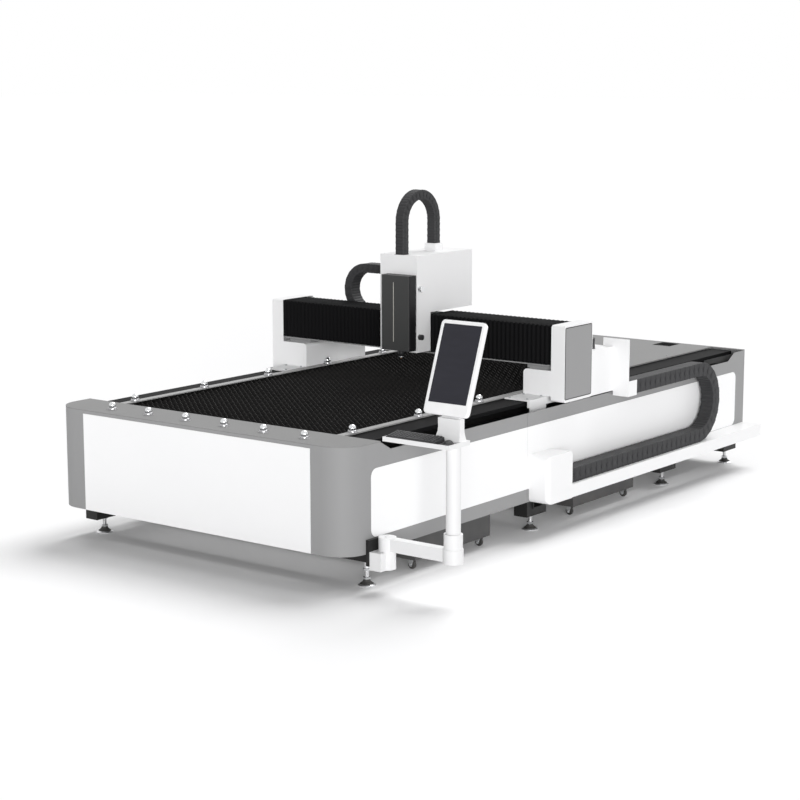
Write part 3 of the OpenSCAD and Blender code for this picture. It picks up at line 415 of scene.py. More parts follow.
def add_bump(nodes, links, bsdf, height, strength, depth):
    """Bump on the shader from a height socket; depth is in metres."""
    bump = nodes.new("ShaderNodeBump")
    bump.inputs["Strength"].default_value = strength
    bump.inputs["Distance"].default_value = depth
    links.new(height, bump.inputs["Height"])
    links.new(bump.outputs[0], bsdf.inputs["Normal"])


def dress(nodes, links, bsdf, group, dust, reach, strength, depth):
    """Feeds a surface group into the shader, with dust over its colour."""
    colour = group.outputs["Colour"]
    if dust:
        layer = use_group(nodes, DUST, None, Amount=dust, Reach=reach)
        links.new(colour, layer.inputs["Colour"])
        colour = layer.outputs["Colour"]
    links.new(colour, bsdf.inputs["Base Color"])
    links.new(group.outputs["Roughness"], bsdf.inputs["Roughness"])
    add_bump(nodes, links, bsdf, group.outputs["Height"], strength, depth)


def painted(name, colour, gloss, cloud=0.05, grain=650.0, dust=0.12, reach=0.3, shine=0.5):
    """Powder-coated sheet."""
    material, nodes, links, bsdf = new_finish(name)
    bsdf.inputs["Specular IOR Level"].default_value = shine
    group = use_group(nodes, COAT, colour, Cloud=cloud, Grain=grain, Gloss=gloss, Spread=0.18)
    dress(nodes, links, bsdf, group, dust, reach, 0.25, 0.0004)
    return material


def metal(name, colour, gloss, stretch, spread=0.2, strength=0.15):
    """Bare metal without dust, its grain drawn out along the smallest part of the stretch vector."""
    material, nodes, links, bsdf = new_finish(name)
    bsdf.inputs["Metallic"].default_value = 1.0
    group = use_group(nodes, GROUND, colour, Stretch=stretch, Gloss=gloss, Spread=spread)
    dress(nodes, links, bsdf, group, 0.0, 0.25, strength, 0.0002)
    return material


def moulded(name, colour, gloss, cells=900.0, dust=0.0, reach=0.3, strength=0.3, shine=0.5):
    """Moulded plastic or rubber."""
    material, nodes, links, bsdf = new_finish(name)
    bsdf.inputs["Specular IOR Level"].default_value = shine
    group = use_group(nodes, MOULDED, colour, Cells=cells, Gloss=gloss)
    dress(nodes, links, bsdf, group, dust, reach, strength, 0.0003)
    return material


def step_by_place(nodes, links, axis, level, above):
    """Mask that is 1 on one side of a level along an axis of Object coordinates."""
    split = nodes.new("ShaderNodeSeparateXYZ")
    links.new(nodes.new("ShaderNodeTexCoord").outputs["Object"], split.inputs[0])
    return math_node(nodes, links, "GREATER_THAN" if above else "LESS_THAN", split.outputs[axis], level)


def two_tone_paint(name, colour, other, gloss, axis, level, above):
    """Powder coat whose colour changes to another on one side of a level."""
    material, nodes, links, bsdf = new_finish(name)
    bsdf.inputs["Specular IOR Level"].default_value = 0.25
    mask = step_by_place(nodes, links, axis, level, above)
    group = use_group(nodes, COAT, None, Cloud=0.08, Grain=650.0, Gloss=gloss, Spread=0.2)
    links.new(mixed(nodes, links, mask, colour, other), group.inputs["Colour"])
    dress(nodes, links, bsdf, group, 0.1, 0.3, 0.25, 0.0004)
    return material


def scorched_slats(name):
    """Black slat steel with brown heat marks and slag grain towards the tips of the teeth."""
    material, nodes, links, bsdf = new_finish(name)
    place = nodes.new("ShaderNodeTexCoord").outputs["Object"]
    split = nodes.new("ShaderNodeSeparateXYZ")
    links.new(place, split.inputs[0])
    slope, tip_start = 25.0, -19.3
    rise = math_node(nodes, links, "MULTIPLY_ADD", split.outputs["Z"], slope, tip_start, clamp=True)
    heat = noise(nodes, links, place, 35.0, 5.0)
    mask = math_node(nodes, links, "MULTIPLY", rise, heat)
    group = use_group(nodes, COAT, None, Cloud=0.5, Grain=420.0, Gloss=0.72, Spread=0.25)
    black, brown = (0.011, 0.011, 0.011), (0.026, 0.022, 0.019)
    links.new(mixed(nodes, links, mask, black, brown), group.inputs["Colour"])
    bsdf.inputs["Specular IOR Level"].default_value = 0.25
    dress(nodes, links, bsdf, group, 0.0, 0.3, 0.5, 0.0008)
    return material


def bellows_cloth(name):
    """Coated cloth: fine warp and weft waves for bump."""
    material, nodes, links, bsdf = new_finish(name)
    group = use_group(nodes, MOULDED, (0.007, 0.007, 0.0075), Cells=500.0, Gloss=0.6)
    bsdf.inputs["Specular IOR Level"].default_value = 0.02
    place = nodes.new("ShaderNodeTexCoord").outputs["Object"]
    total = group.outputs["Height"]
    for axis in ("Y", "Z"):
        wave = nodes.new("ShaderNodeTexWave")
        wave.bands_direction = axis
        wave.inputs["Scale"].default_value = 190.0
        links.new(place, wave.inputs["Vector"])
        total = math_node(nodes, links, "ADD", total, wave.outputs["Fac"])
    links.new(group.outputs["Colour"], bsdf.inputs["Base Color"])
    links.new(group.outputs["Roughness"], bsdf.inputs["Roughness"])
    add_bump(nodes, links, bsdf, total, 0.2, 0.0004)
    return material


def dark_screen(name):
    """Dark display glass with faint wiping marks in its gloss."""
    material, nodes, links, bsdf = new_finish(name)
    bsdf.inputs["Coat Weight"].default_value = 0.08
    bsdf.inputs["Coat Roughness"].default_value = 0.05
    bsdf.inputs["Specular IOR Level"].default_value = 0.2
    colour, wiping = (0.019, 0.019, 0.027), (90.0, 7.0, 9.0)
    group = use_group(nodes, GROUND, colour, Stretch=wiping, Gloss=0.16, Spread=0.12)
    links.new(group.outputs["Colour"], bsdf.inputs["Base Color"])
    links.new(group.outputs["Roughness"], bsdf.inputs["Roughness"])
    return material


# Bellows

PLEAT_STEPS = np.array([0.0, 0.16, 0.5, 0.66])
PLEAT_DEPTH = np.array([0.0, 0.0, 8.0, 8.0])
TOP_GIVE = [0.25, 0.6]
CLOTH_T = 2.2
END_FRAME = 6.0
END_FRAME_T = 11.0
FRAME_STEP = 0.1


def bellows_sheet(y_end, y_carriage, pitch=31.0):
    """Folded sheet over the front and top of the beam.

    The section is an outer line over the top and down the front and the same line a thickness inside. Along
    the beam the section goes in and out by the pleat depth, and stays out at the two end frames. The pleats
    get shallower over the top: give is their share of the full depth at each point of the line.
    """
    front, top, low, rear, r = 2015.4, 1233.6, 993.4, 2249.0, 8.0
    a = np.linspace(np.pi / 2, np.pi, 5)
    line = np.concatenate([[[rear, top], [(rear + front) / 2, top]],
                           np.column_stack([front + r + r * np.cos(a), top - r + r * np.sin(a)]),
                           [[front, (top + low) / 2], [front, low]]])
    inward = np.concatenate([[[0, -1]] * 2, -np.column_stack([np.cos(a), np.sin(a)]), [[1, 0]] * 2])
    inner_l = abs(y_carriage - y_end) - 2 * END_FRAME
    count = int(round(inner_l / pitch))
    steps = (np.arange(count)[:, None] + PLEAT_STEPS).reshape(-1) / count
    depth = np.concatenate([[0.0, 0.0], np.tile(PLEAT_DEPTH, count), [0.0, 0.0]])
    frame_t = [END_FRAME_T, END_FRAME_T]
    thick = np.concatenate([frame_t, np.full(len(steps), CLOTH_T), frame_t])
    way = np.sign(y_carriage - y_end)
    along = np.concatenate([[0.0, END_FRAME - FRAME_STEP], END_FRAME + steps * inner_l,
                            [inner_l + END_FRAME + FRAME_STEP, inner_l + 2 * END_FRAME]])
    give = np.concatenate([TOP_GIVE, np.ones(len(line) - len(TOP_GIVE))])[:, None]
    outer = line[None] + (inward * give)[None] * depth[:, None, None]
    inner = outer + inward[None] * thick[:, None, None]
    section = np.concatenate([outer, inner[:, ::-1]], 1)
    y = np.repeat((y_end + way * along)[:, None, None], section.shape[1], 1)
    return skin(np.concatenate([section[..., :1], y, section[..., 1:]], -1))


# Cable chains

LINK_STEPS = np.array([0.0, 0.04, 0.09, 0.41, 0.46, 0.5, 0.54, 0.59, 0.91, 0.96])
LINK_SIDE = np.array([0.0, 0.0, 0.0, 0.0, 0.0, 1.6, 1.6, 1.6, 1.6, 1.6])
LINK_DIP = np.array([1.8, 0.6, 0.0, 0.0, 0.6, 1.8, 0.6, 0.0, 0.0, 0.6])
LINK_BAR = np.array([3.0, 2.0, 0.9, 0.9, 2.0, 3.0, 2.0, 0.9, 0.9, 2.0])


def chain_section(half_w, half_t, side, dip, bar):
    """Section of a chain at each step: two side plates, with a bar between them on both faces.

    Side draws the plates in, dip rounds the plates' edges at the link ends and bar sets the bars back.
    """
    plate = 0.11 * half_w
    out = np.array([half_w, half_w - 3, half_w - plate, half_w - plate])
    drawn_in = np.array([1, 1, 0, 0])
    up = np.array([half_t - 3, half_t, half_t, half_t])
    on_bar = np.array([0, 0, 0, 1])
    left_right = np.repeat([1, -1, -1, 1], 4)
    above_below = np.repeat([1, 1, -1, -1], 4)
    quarter = np.array([0, 1, 2, 3, 3, 2, 1, 0, 0, 1, 2, 3, 3, 2, 1, 0])
    across = left_right * (out[quarter] - drawn_in[quarter] * side[:, None])
    height = above_below * (up[quarter] - np.where(on_bar[quarter], bar[:, None], dip[:, None]))
    return across, height


def chain_skin(track, length, width, thick, pitch, place):
    """Links along a track.

    Track turns lengths into points and unit normals in the chain's plane, place turns plane and across into
    bed coordinates. Every link has round bosses on both sides.
    """
    count = max(int(round(length / pitch)), 1)
    s = np.append((np.arange(count)[:, None] + LINK_STEPS).reshape(-1), count) * length / count
    side, dip, bar = (np.append(np.tile(v, count), v[0]) for v in (LINK_SIDE, LINK_DIP, LINK_BAR))
    across, height = chain_section(width / 2 - 1.5, thick / 2, side, dip, bar)
    centre, normal = track(s)
    plane = centre[:, None] + normal[:, None] * height[..., None]
    band = skin(place(plane[..., 0], plane[..., 1], across))
    boss_at, _ = track((np.arange(count) + 0.25) * length / count)
    a = np.arange(12) * np.pi / 6
    radius = np.array([0.24, 0.24, 0.2])[:, None] * thick
    depth = np.array([width / 2 - 5, width / 2 - 0.6, width / 2])[:, None] + 0 * a
    bosses = [skin(place(c[0] + radius * np.cos(a), c[1] + radius * np.sin(a), way * depth))
              for c in boss_at for way in (-1, 1)]
    return joined([band] + bosses)


def straight(start, end):
    """Track along a line from start to end; its normal is square to the line."""
    start, end = np.array(start, float), np.array(end, float)
    along = (end - start) / np.linalg.norm(end - start)
    normal = np.array([-along[1], along[0]])

    def track(s):
        return start + s[:, None] * along, np.repeat(normal[None], len(s), 0)
    return track, np.linalg.norm(end - start)


def arc(centre, radius, first, last):
    """Track along a circle from the first angle to the last, in degrees; its normal points outwards."""
    length = radius * abs(math.radians(last - first))

    def track(s):
        a = np.radians(first + (last - first) * s / length)
        ray = np.column_stack([np.cos(a), np.sin(a)])
        return np.array(centre, float) + radius * ray, ray
    return track, length


def add_chain(node, width, thick, pitch, place, runs, finish):
    """A chain as three pieces: the run from the fixed end, the bend and the moving run.

    The bend travels half as far as the moving body.
    """
    for part, (track, length) in runs.items():
        links = chain_skin(track, length, width, thick, pitch, place)
        piece = add_piece(f"{node}_{part}", links, finish)
        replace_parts(piece, node)
        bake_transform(piece)


def add_long_chain(finish):
    """Chain beside the bed, along x: mid-line of the bend 223 mm in radius, in the plane of x and z."""
    y, fixed, bend, moving = -71.0, 1980.3, 3594.0, 2646.3
    low, high, mid = 336.3, 782.3, 559.3
    runs = {"fixed_run": straight((fixed, low), (bend, low)), "bend": arc((bend, mid), 223.0, -90.0, 90.0),
            "moving_run": straight((bend, high), (moving, high))}
    width, thick, pitch = 100.0, 88.0, 62.0

    def place(a, b, c):
        return np.stack([a, y + c, b], -1)
    add_chain("x_chain", width, thick, pitch, place, runs, finish)


def add_cross_chain(finish):
    """Chain behind the beam, along y: mid-line of the bend 145 mm in radius, in the plane of y and z."""
    x, fixed, bend, moving = 2385.0, 1100.0, 1718.0, 1226.3
    low, high, mid = 1155.0, 1445.0, 1300.0
    runs = {"fixed_run": straight((fixed, low), (bend, low)), "bend": arc((bend, mid), 145.0, -90.0, 90.0),
            "moving_run": straight((bend, high), (moving, high))}
    width, thick, pitch = 100.0, 60.0, 46.0

    def place(a, b, c):
        return np.stack([x + c, a, b], -1)
    add_chain("y_chain", width, thick, pitch, place, runs, finish)


def add_head_chain(finish):
    """Arched chain over the carriage: mid-line of the arch 165.5 mm in radius, in the plane of x and z."""
    y, bend, fixed, moving = 1087.5, 1805.0, 1655.3, 1500.0
    rear, front, mid = 2244.0, 1913.0, 2078.5
    runs = {"fixed_run": straight((rear, fixed), (rear, bend)), "bend": arc((mid, bend), 165.5, 0.0, 180.0),
            "moving_run": straight((front, bend), (front, moving))}
    width, thick, pitch = 65.0, 60.0, 38.0

    def place(a, b, c):
        return np.stack([a, y + c, b], -1)
    add_chain("z_chain", width, thick, pitch, place, runs, finish)


# Console

LEAN = math.radians(20.0)
MONITOR_W = 280
MONITOR_H = 500
OPENING_LOW = (20, 62)
OPENING_HIGH = (260, 480)
SCREEN_EDGE = np.array([250.0, -585.0, 1000.0])
TRAY_FLOOR = 854.2
TRAY_RIM = 13.0
TRAY_FRONT = 160.0
KEY_SLOPE = 0.165
KEY_PITCH = 19.8
KEY_ROW_PITCH = 18.2
KEY_DEPTH = 16.4
KEY_GAP = 2.4
FIRST_KEY = (165.0, -434.0)
MOUSE_PLACE = (212.0, -494.0)


def leaning(shape):
    """Turns a shape drawn as across, up and depth to the monitor's lean about its lower front edge."""
    across, up, depth = shape[0].T
    x = SCREEN_EDGE[0] + up * math.sin(LEAN) + depth * math.cos(LEAN)
    z = SCREEN_EDGE[2] + up * math.cos(LEAN) - depth * math.sin(LEAN)
    return np.column_stack([x, SCREEN_EDGE[1] + across, z]), shape[1], shape[2]


def monitor_shell():
    """Monitor as rings from the display's opening over the rounded edge to the raised back."""
    def ring(low, high, radius, depth):
        outline = rounded_outline(low, high, radius, 8)
        return np.column_stack([outline, np.full(len(outline), depth)])
    rings = [ring(OPENING_LOW, OPENING_HIGH, 4, depth) for depth in (2.4, 0.9)]
    rings.append(ring(np.subtract(OPENING_LOW, 1), np.add(OPENING_HIGH, 1), 5, 0.0))
    edge = ((7.0, 0.0), (3.0, 0.8), (0.8, 3.0), (0.0, 6.0), (0.0, 22.0), (1.5, 27.0), (6.0, 31.0),
            (18.0, 34.0), (34.0, 35.0), (38.0, 39.0), (41.0, 40.0))
    rings += [ring((i, i), (MONITOR_W - i, MONITOR_H - i), max(22 - 0.3 * i, 4), d) for i, d in edge]
    shell = skin(np.array(rings))
    vent = slab((0, 0), (150, 5), 2.4, ((0.0, 0.0), (0.0, 1.6), (0.9, 2.4)))
    return joined([shell] + [moved(vent, (65, 330 + 13 * k, 38.4)) for k in range(8)])


def tilt_lugs():
    """Two lugs behind the monitor around the tilt pin: a rounded outline drawn out, smaller at its ends."""
    outline = rounded_outline((36, 44), (68, 76), 12, 8)
    pin_depth, pin_up = 54, 60
    shapes = []
    for y in (71.0, 197.0):
        rings = [np.column_stack([np.full(len(outline), y + d), pin_up + (outline[:, 1] - pin_up) * k,
                                  pin_depth + (outline[:, 0] - pin_depth) * k])
                 for d, k in ((0.0, 0.95), (0.8, 1.0), (11.2, 1.0), (12.0, 0.95))]
        shapes.append(skin(np.array(rings)))
    return joined(shapes)


def display_pane():
    """Display glass as a slab with a fine rounded edge."""
    return slab((20.4, 62.4), (259.6, 479.6), 4.0, ((0.0, 2.2), (0.0, 0.9), (0.5, 0.5), (2.0, 0.4)))


def sloped(shape):
    """Tips the top of a flat keyboard up towards its rear; its underside stays level."""
    x, y, z = shape[0].T
    share = np.clip((z - TRAY_FLOOR) / TRAY_RIM, 0.0, 1.0)
    return np.column_stack([x, y, z + KEY_SLOPE * share * (x - TRAY_FRONT)]), shape[1], shape[2]


def key_caps():
    """Key caps in five rows: each a tapered slab; the space bar spans six columns of the front row."""
    shapes = []
    levels = ((0.0, 0.0), (0.3, 2.5), (1.8, 6.2), (3.0, 6.6))
    plain_row = [(k, 1) for k in range(15)]
    front_row = plain_row[:3] + [(3, 6)] + plain_row[9:]
    for row in range(5):
        for first, span in (plain_row if row else front_row):
            low = (FIRST_KEY[0] + KEY_ROW_PITCH * row, FIRST_KEY[1] + KEY_PITCH * first)
            high = (low[0] + KEY_DEPTH, low[1] + KEY_PITCH * span - KEY_GAP)
            shapes.append(moved(slab(low, high, 2.5, levels, 3), (0, 0, TRAY_FLOOR + TRAY_RIM)))
    return sloped(joined(shapes))


def keyboard_tray():
    """Keyboard body: slab with a rounded rim."""
    levels = ((2.0, 0.0), (0.0, 2.0), (0.0, 10.0), (1.6, TRAY_RIM), (5.0, 13.6))
    return sloped(moved(slab((160.4, -443.6), (261.6, -131.4), 9.0, levels), (0, 0, TRAY_FLOOR)))


def desk_mouse():
    """Mouse: an oval that rises to a crown and is fuller at the palm.

    With v from 0 at the desk to 1 at the crown, x = l cos t (1 - v)^0.45, y = w sin t (1 - v)^0.45, z = h v.
    """
    half_l, half_w, height = 47.0, 29.0, 27.0
    t = np.arange(28) * 2 * np.pi / 28
    v = np.array([0.0, 0.03, 0.25, 0.5, 0.7, 0.85, 0.94, 0.99])[:, None]
    fill = (1 - v) ** 0.45
    x = MOUSE_PLACE[0] + half_l * np.sign(np.cos(t)) * np.abs(np.cos(t)) ** 0.85 * fill + 6.0 * v
    y = MOUSE_PLACE[1] + half_w * np.sin(t) * fill * (1 - 0.08 * np.cos(t))
    z = TRAY_FLOOR + height * v + 0 * t
    wheel = turned([(2.0, -4.0), (6.5, -3.6), (7.0, 0.0), (6.5, 3.6), (2.0, 4.0)], 16, "y", 0.5)
    wheel_place = (MOUSE_PLACE[0] - 25.0, MOUSE_PLACE[1], 872.0)
    return joined([skin(np.stack([x, y, z], -1)), moved(wheel, wheel_place)])


# Turned and pressed parts

def at_places(shape, places):
    """Copies of a shape at several places, as one shape."""
    return joined(moved(shape, p) for p in places)


FOOT_PLACES = [(x, y, 0.0) for x in (289.0, 1883.0, 3477.0, 4366.0) for y in (96.0, BED_WIDTH - 96.0)]
CART_PLACES = [("front", 676.0), ("rear", 2313.0)]
CASTER_X = (40.0, 690.0)
CASTER_Y = (("a", 110.0), ("b", BED_WIDTH - 110.0))
CASTER_AXLE = 25.0
BALL_ROW = [(110.0, BED_MIDDLE + 290.0 * k, BED_TOP) for k in (-2.5, -1.5, -0.5, 0.5, 1.5, 2.5)]
BALL_STRIPS = [(395.0 + 600.0 * k, y, BED_TOP) for k in range(5) for y in (275.0, BED_WIDTH - 275.0)]
NOZZLE_PLACE = (1829.0, 1031.0, 965.0)
KNOB_PLACE = (1897.0, 940.0, 1400.0)


def ball_cup():
    """Pressed cup of a transfer ball: a flange, a straight wall and a lip rolled in over the ball."""
    return turned([(21.4, 2.0), (29.0, 0.05), (29.6, 1.4), (28.4, 3.0), (26.4, 3.6), (25.8, 9.6),
                   (24.6, 12.4), (22.6, 13.8), (21.5, 13.6), (21.35, 4.0)], 32)


def foot_dish():
    """Pad of a foot with its stud: a pressed dish with a rounded rim, and a stud ridged like a thread."""
    turns = np.arange(24)
    thread = np.column_stack([11.9 - 0.9 * (turns % 2), 46.0 + 2.2 * turns])
    dish = [(4.0, 0.05), (47.0, 0.05), (49.6, 1.6), (49.9, 4.0), (48.6, 6.4), (44.0, 8.4), (39.0, 11.9)]
    return turned(np.concatenate([dish, [(11.9, 11.9), (11.9, 44.0)], thread, [(11.0, 98.0)]]), 36)


def foot_bell():
    """Rubber bell of a foot: its radius falls from the pad to the stud along a hollow curve."""
    t = np.linspace(0.0, 1.0, 8)
    hollow = np.column_stack([19.0 + 18.8 * (1 - t) ** 1.8, 13.5 + 20.4 * t])
    return turned(np.concatenate([[(13.0, 12.05), (37.0, 12.05), (37.9, 12.6)], hollow, [(12.6, 34.0)]]), 32)


def foot_sleeve():
    """Tube over the stud of the foot that has no block, with a rounded lower edge."""
    return turned([(12.5, 98.0), (15.8, 98.0), (17.0, 99.4), (17.0, 142.9), (12.5, 142.9)], 32)


def foot_nut(z):
    """Hexagon nut on the stud, with its corners chamfered above and below."""
    nut = turned([(12.3, 0.0), (18.5, 0.0), (20.8, 1.6), (20.8, 12.4), (18.5, 14.0), (12.3, 14.0)], 6)
    return moved(nut, (0, 0, z))


def caster_wheel():
    """Caster wheel on its axle along x: a round tread on a hub with a raised boss."""
    return turned([(5.4, -9.8), (9.0, -9.8), (9.6, -7.2), (17.0, -6.4), (18.0, -9.0), (21.5, -9.6),
                   (24.2, -6.5), (24.9, 0.0), (24.2, 6.5), (21.5, 9.6), (18.0, 9.0), (17.0, 6.4),
                   (9.6, 7.2), (9.0, 9.8), (5.4, 9.8)], 32, "x")


def caster_fork():
    """Pressed fork of a caster: two cheeks that widen from the axle to the top ring, and their axle nuts."""
    t = np.linspace(np.pi, 2 * np.pi, 9)
    cheek = np.concatenate([np.column_stack([11.0 * np.cos(t), CASTER_AXLE + 11.0 * np.sin(t)]),
                            [(19.0, 56.0), (19.0, 60.0), (-19.0, 60.0), (-19.0, 56.0)]])
    shapes = []
    for side in (-1, 1):
        rings = [np.column_stack([np.full(len(cheek), side * x), cheek * (k, 1.0)])
                 for x, k in ((15.1, 0.96), (15.5, 1.0), (16.8, 1.0), (17.3, 0.95))]
        shapes.append(skin(np.array(rings)))
        nut = turned([(3.0, 0.0), (7.6, 0.0), (7.6, 4.2), (6.4, 5.2), (3.0, 5.2)], 6, "x")
        shapes.append(moved((nut[0] * (side, 1, 1), nut[1], nut[2]), (side * 17.0, 0.0, CASTER_AXLE)))
    ring = turned([(12.0, 55.5), (20.5, 55.5), (22.0, 57.0), (22.0, 60.6), (26.0, 61.9), (12.0, 61.9)], 28)
    return joined(shapes + [ring])


def cap_screw(radius):
    """Socket head screw standing on a face that looks up: a knurled head with a sunk socket."""
    return turned([(0.3 * radius, 0.1), (radius, 0.05), (radius, 0.85 * radius), (0.9 * radius, radius),
                   (0.55 * radius, radius), (0.5 * radius, 0.45 * radius)], 16, "z", 0.04 * radius)


def head_tip():
    """Nozzle: a copper cone with a bore in its tip and a short collar."""
    return turned([(1.6, 3.0), (2.2, 0.1), (4.2, 0.0), (8.8, 6.5), (9.6, 7.2), (9.9, 10.0)], 32)


def clamp_nut():
    """Ring above the nozzle that clamps it, with fine flutes."""
    return turned([(11.0, 10.2), (13.4, 10.4), (14.6, 12.0), (14.6, 17.0), (13.0, 18.5)], 40, "z", 0.6)


def cover_knob():
    """Polished knob along y: a fluted rim with rounded edges, hollow over the plain knob inside it."""
    return turned([(17.3, -0.2), (18.4, -0.2), (18.8, -3.0), (17.6, -6.0), (17.4, -10.0), (20.0, -14.0),
                   (20.4, -20.0), (18.6, -23.4), (12.0, -24.3), (2.0, -24.6)], 36, "y", 0.5)


def slot_shade_collar():
    """Dark collar in the opening of the rear deck, a hoop that hangs down from the deck's edge: it stands
    for a grommet and is partly painted shade over the lit inside of the opening.
    """
    inner = rounded_outline((4256.2, 496.2), (4411.8, 633.8), 4.0)
    outer = rounded_outline((4254.3, 494.3), (4413.7, 635.7), 5.8)
    corners = [(outer, 776.0), (outer, 805.6), (inner, 805.6), (inner, 776.0)]
    return hoop(np.array([np.column_stack([o, np.full(len(o), z)]) for o, z in corners]))


def panel_shade_outline(y):
    """Dark outline round a grey end panel, painted shade of the panel's recessed edge: a flat hoop between
    two rounded outlines.
    """
    inner = rounded_outline((2027.4, 791.4), (2317.6, 1219.6), 6.6)
    outer = rounded_outline((2022.6, 786.6), (2322.4, 1224.4), 11.0)
    y0, y1 = y
    corners = [(outer, y0), (outer, y1), (inner, y1), (inner, y0)]
    rings = np.array([np.column_stack([o[:, 0], np.full(len(o), d), o[:, 1]]) for o, d in corners])
    return hoop(rings)


# The machine

def finish_nodes():
    """Gives every node of the frame its finish."""
    for names, finish in NODE_FINISH.items():
        for node in names.split():
            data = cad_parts[node].data
            data.materials.clear()
            data.materials.append(finish)


def add_flexible():
    """Bellows between the end covers and the carriage, and the three cable chains."""
    for side, y_end, y_carriage in (("left", 2155.7, 1226.3), ("right", 44.3, 939.7)):
        sheet = bellows_sheet(y_end, y_carriage)
        piece = add_piece(f"bellows_{side}_folds", sheet, BELLOWS, 25.0)
        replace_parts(piece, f"bellows_{side}")
        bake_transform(piece)
    add_long_chain(NYLON)
    add_cross_chain(NYLON)
    add_head_chain(NYLON)


def add_console():
    """Monitor, display, keyboard and mouse."""
    casing = leaning(joined([monitor_shell(), tilt_lugs()]))
    shell = add_piece("monitor_casing", casing, WHITE_CASE)
    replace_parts(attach(shell, "screen"), "monitor")
    pane = add_piece("display_pane", leaning(display_pane()), SCREEN)
    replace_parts(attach(pane, "screen"), "display")
    desk_set = joined([keyboard_tray(), desk_mouse()])
    tray = add_piece("keyboard_tray", desk_set, KEY_PLASTIC)
    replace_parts(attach(tray, "console_top"), "keyboard")
    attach(add_piece("keyboard_keys", key_caps(), CAP_PLASTIC), "console_top")


def add_feet_and_casters():
    """Ball cups, levelling feet, and the casters of the two carts."""
    cups = add_piece("ball_cup_pressings", at_places(ball_cup(), BALL_ROW + BALL_STRIPS), CUP_STEEL)
    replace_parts(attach(cups, "bed"), "ball_cups")
    bells = add_piece("foot_bells", at_places(foot_bell(), FOOT_PLACES), RUBBER)
    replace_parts(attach(bells, "bed"), "foot_cones")
    dishes = add_piece("foot_dishes", at_places(foot_dish(), FOOT_PLACES), ZINC)
    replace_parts(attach(dishes, "bed"), "foot_pads")
    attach(add_piece("foot_sleeve", moved(foot_sleeve(), FOOT_PLACES[0]), ZINC), "bed")
    nuts = at_places(joined([foot_nut(36.0), foot_nut(83.9)]), FOOT_PLACES)
    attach(add_piece("foot_nuts", nuts, CHROME, 20.0), "bed")
    for cart, x in CART_PLACES:
        forks = at_places(caster_fork(), [(x + k, y, 0.0) for k in CASTER_X for _, y in CASTER_Y])
        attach(add_piece(f"{cart}_cart_forks", forks, CHROME), f"{cart}_cart")
        for pair, y in CASTER_Y:
            wheels = at_places(caster_wheel(), [(x + k, y, CASTER_AXLE) for k in CASTER_X])
            piece = add_piece(f"{cart}_cart_tyres_{pair}", wheels, RUBBER)
            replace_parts(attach(piece, f"{cart}_cart_wheels_{pair}"), f"cart_{cart}_wheels_{pair}")


def add_fittings():
    """Nozzle, knob, dark outlines of painted shade round the end panels, screws, and a dark collar in the
    deck's opening that is partly painted shade.
    """
    tip = add_piece("head_tip", moved(head_tip(), NOZZLE_PLACE), COPPER)
    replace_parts(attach(tip, "head"), "nozzle")
    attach(add_piece("head_clamp_nut", moved(clamp_nut(), NOZZLE_PLACE), STEEL), "head")
    knob = add_piece("cover_knob", moved(cover_knob(), KNOB_PLACE), CHROME)
    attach(knob, "carriage")
    # Painted shade: dark outlines round the end panels' recessed edges.
    shade_outlines = joined([panel_shade_outline((-51.2, -49.6)), panel_shade_outline((2249.6, 2251.2))])
    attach(add_piece("end_panel_shade_outlines", shade_outlines, RUBBER), "gantry")
    plate_places = [(x, y, 803.0) for x in (1835.0, 1985.0) for y in (92.0, 218.0)]
    plate_places += [(x, BED_WIDTH - y, z) for x, y, z in plate_places]
    plate_screws = at_places(cap_screw(7.0), plate_places)
    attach(add_piece("base_plate_screws", plate_screws, STEEL), "gantry")
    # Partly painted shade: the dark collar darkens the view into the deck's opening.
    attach(add_piece("deck_slot_shade_collar", slot_shade_collar(), RUBBER), "bed")
    deck_places = [(x, y, BED_TOP) for x in (3330.0, 3860.0, 4410.0) for y in (290.0, BED_MIDDLE, 1910.0)]
    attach(add_piece("deck_screws", at_places(cap_screw(5.0), deck_places), STEEL), "bed")


PANEL_WHITE = painted("panel_white", (0.90, 0.90, 0.905), 0.38, cloud=0.02, dust=0.05)
# Darker copy of the white paint for the console: painted shade that keeps its strongly lit post and arm
# below white.
CONSOLE_WHITE_SHADED = painted("console_white_shaded", (0.79, 0.79, 0.795), 0.4, cloud=0.03, dust=0.05)
COVER_WHITE = painted("cover_white", (0.85, 0.85, 0.855), 0.4, cloud=0.03, dust=0.05)
BED_GREY = painted("bed_grey", (0.297, 0.297, 0.299), 0.5, cloud=0.06, dust=0.06, shine=0.25)
# Darker copy of the bed grey for faces that look up: painted shade against the light from above. Its coarser
# grain and cloud are its own.
DECK_GREY_SHADED = painted("deck_grey_shaded", (0.268, 0.268, 0.268), 0.6, cloud=0.1, grain=500.0, dust=0.05, shine=0.1)
FRAME_BLACK = painted("frame_black", (0.014, 0.014, 0.014), 0.5, cloud=0.3, dust=0.03, shine=0.3)
RAIL_BLACK = painted("rail_cover_black", (0.008, 0.008, 0.0085), 0.6, cloud=0.3, dust=0.01, shine=0.04)
DARK_STEEL = painted("cart_dark", (0.045, 0.045, 0.046), 0.5, cloud=0.2)
STRIP = two_tone_paint("ball_strip_grey", (0.014, 0.014, 0.014), (0.36, 0.36, 0.36), 0.45,
                       "Z", 0.7985, True)
HEAD_PAINT = two_tone_paint("head_dark", (0.008, 0.008, 0.009), (0.045, 0.046, 0.046), 0.4,
                            "X", -0.4272, False)
SLAT_STEEL = scorched_slats("slat_steel")
STEEL = metal("ground_steel", (0.46, 0.47, 0.48), 0.34, (3.0, 260.0, 260.0))
MACHINED = metal("machined_plate", (0.5, 0.5, 0.51), 0.38, (200.0, 200.0, 6.0))
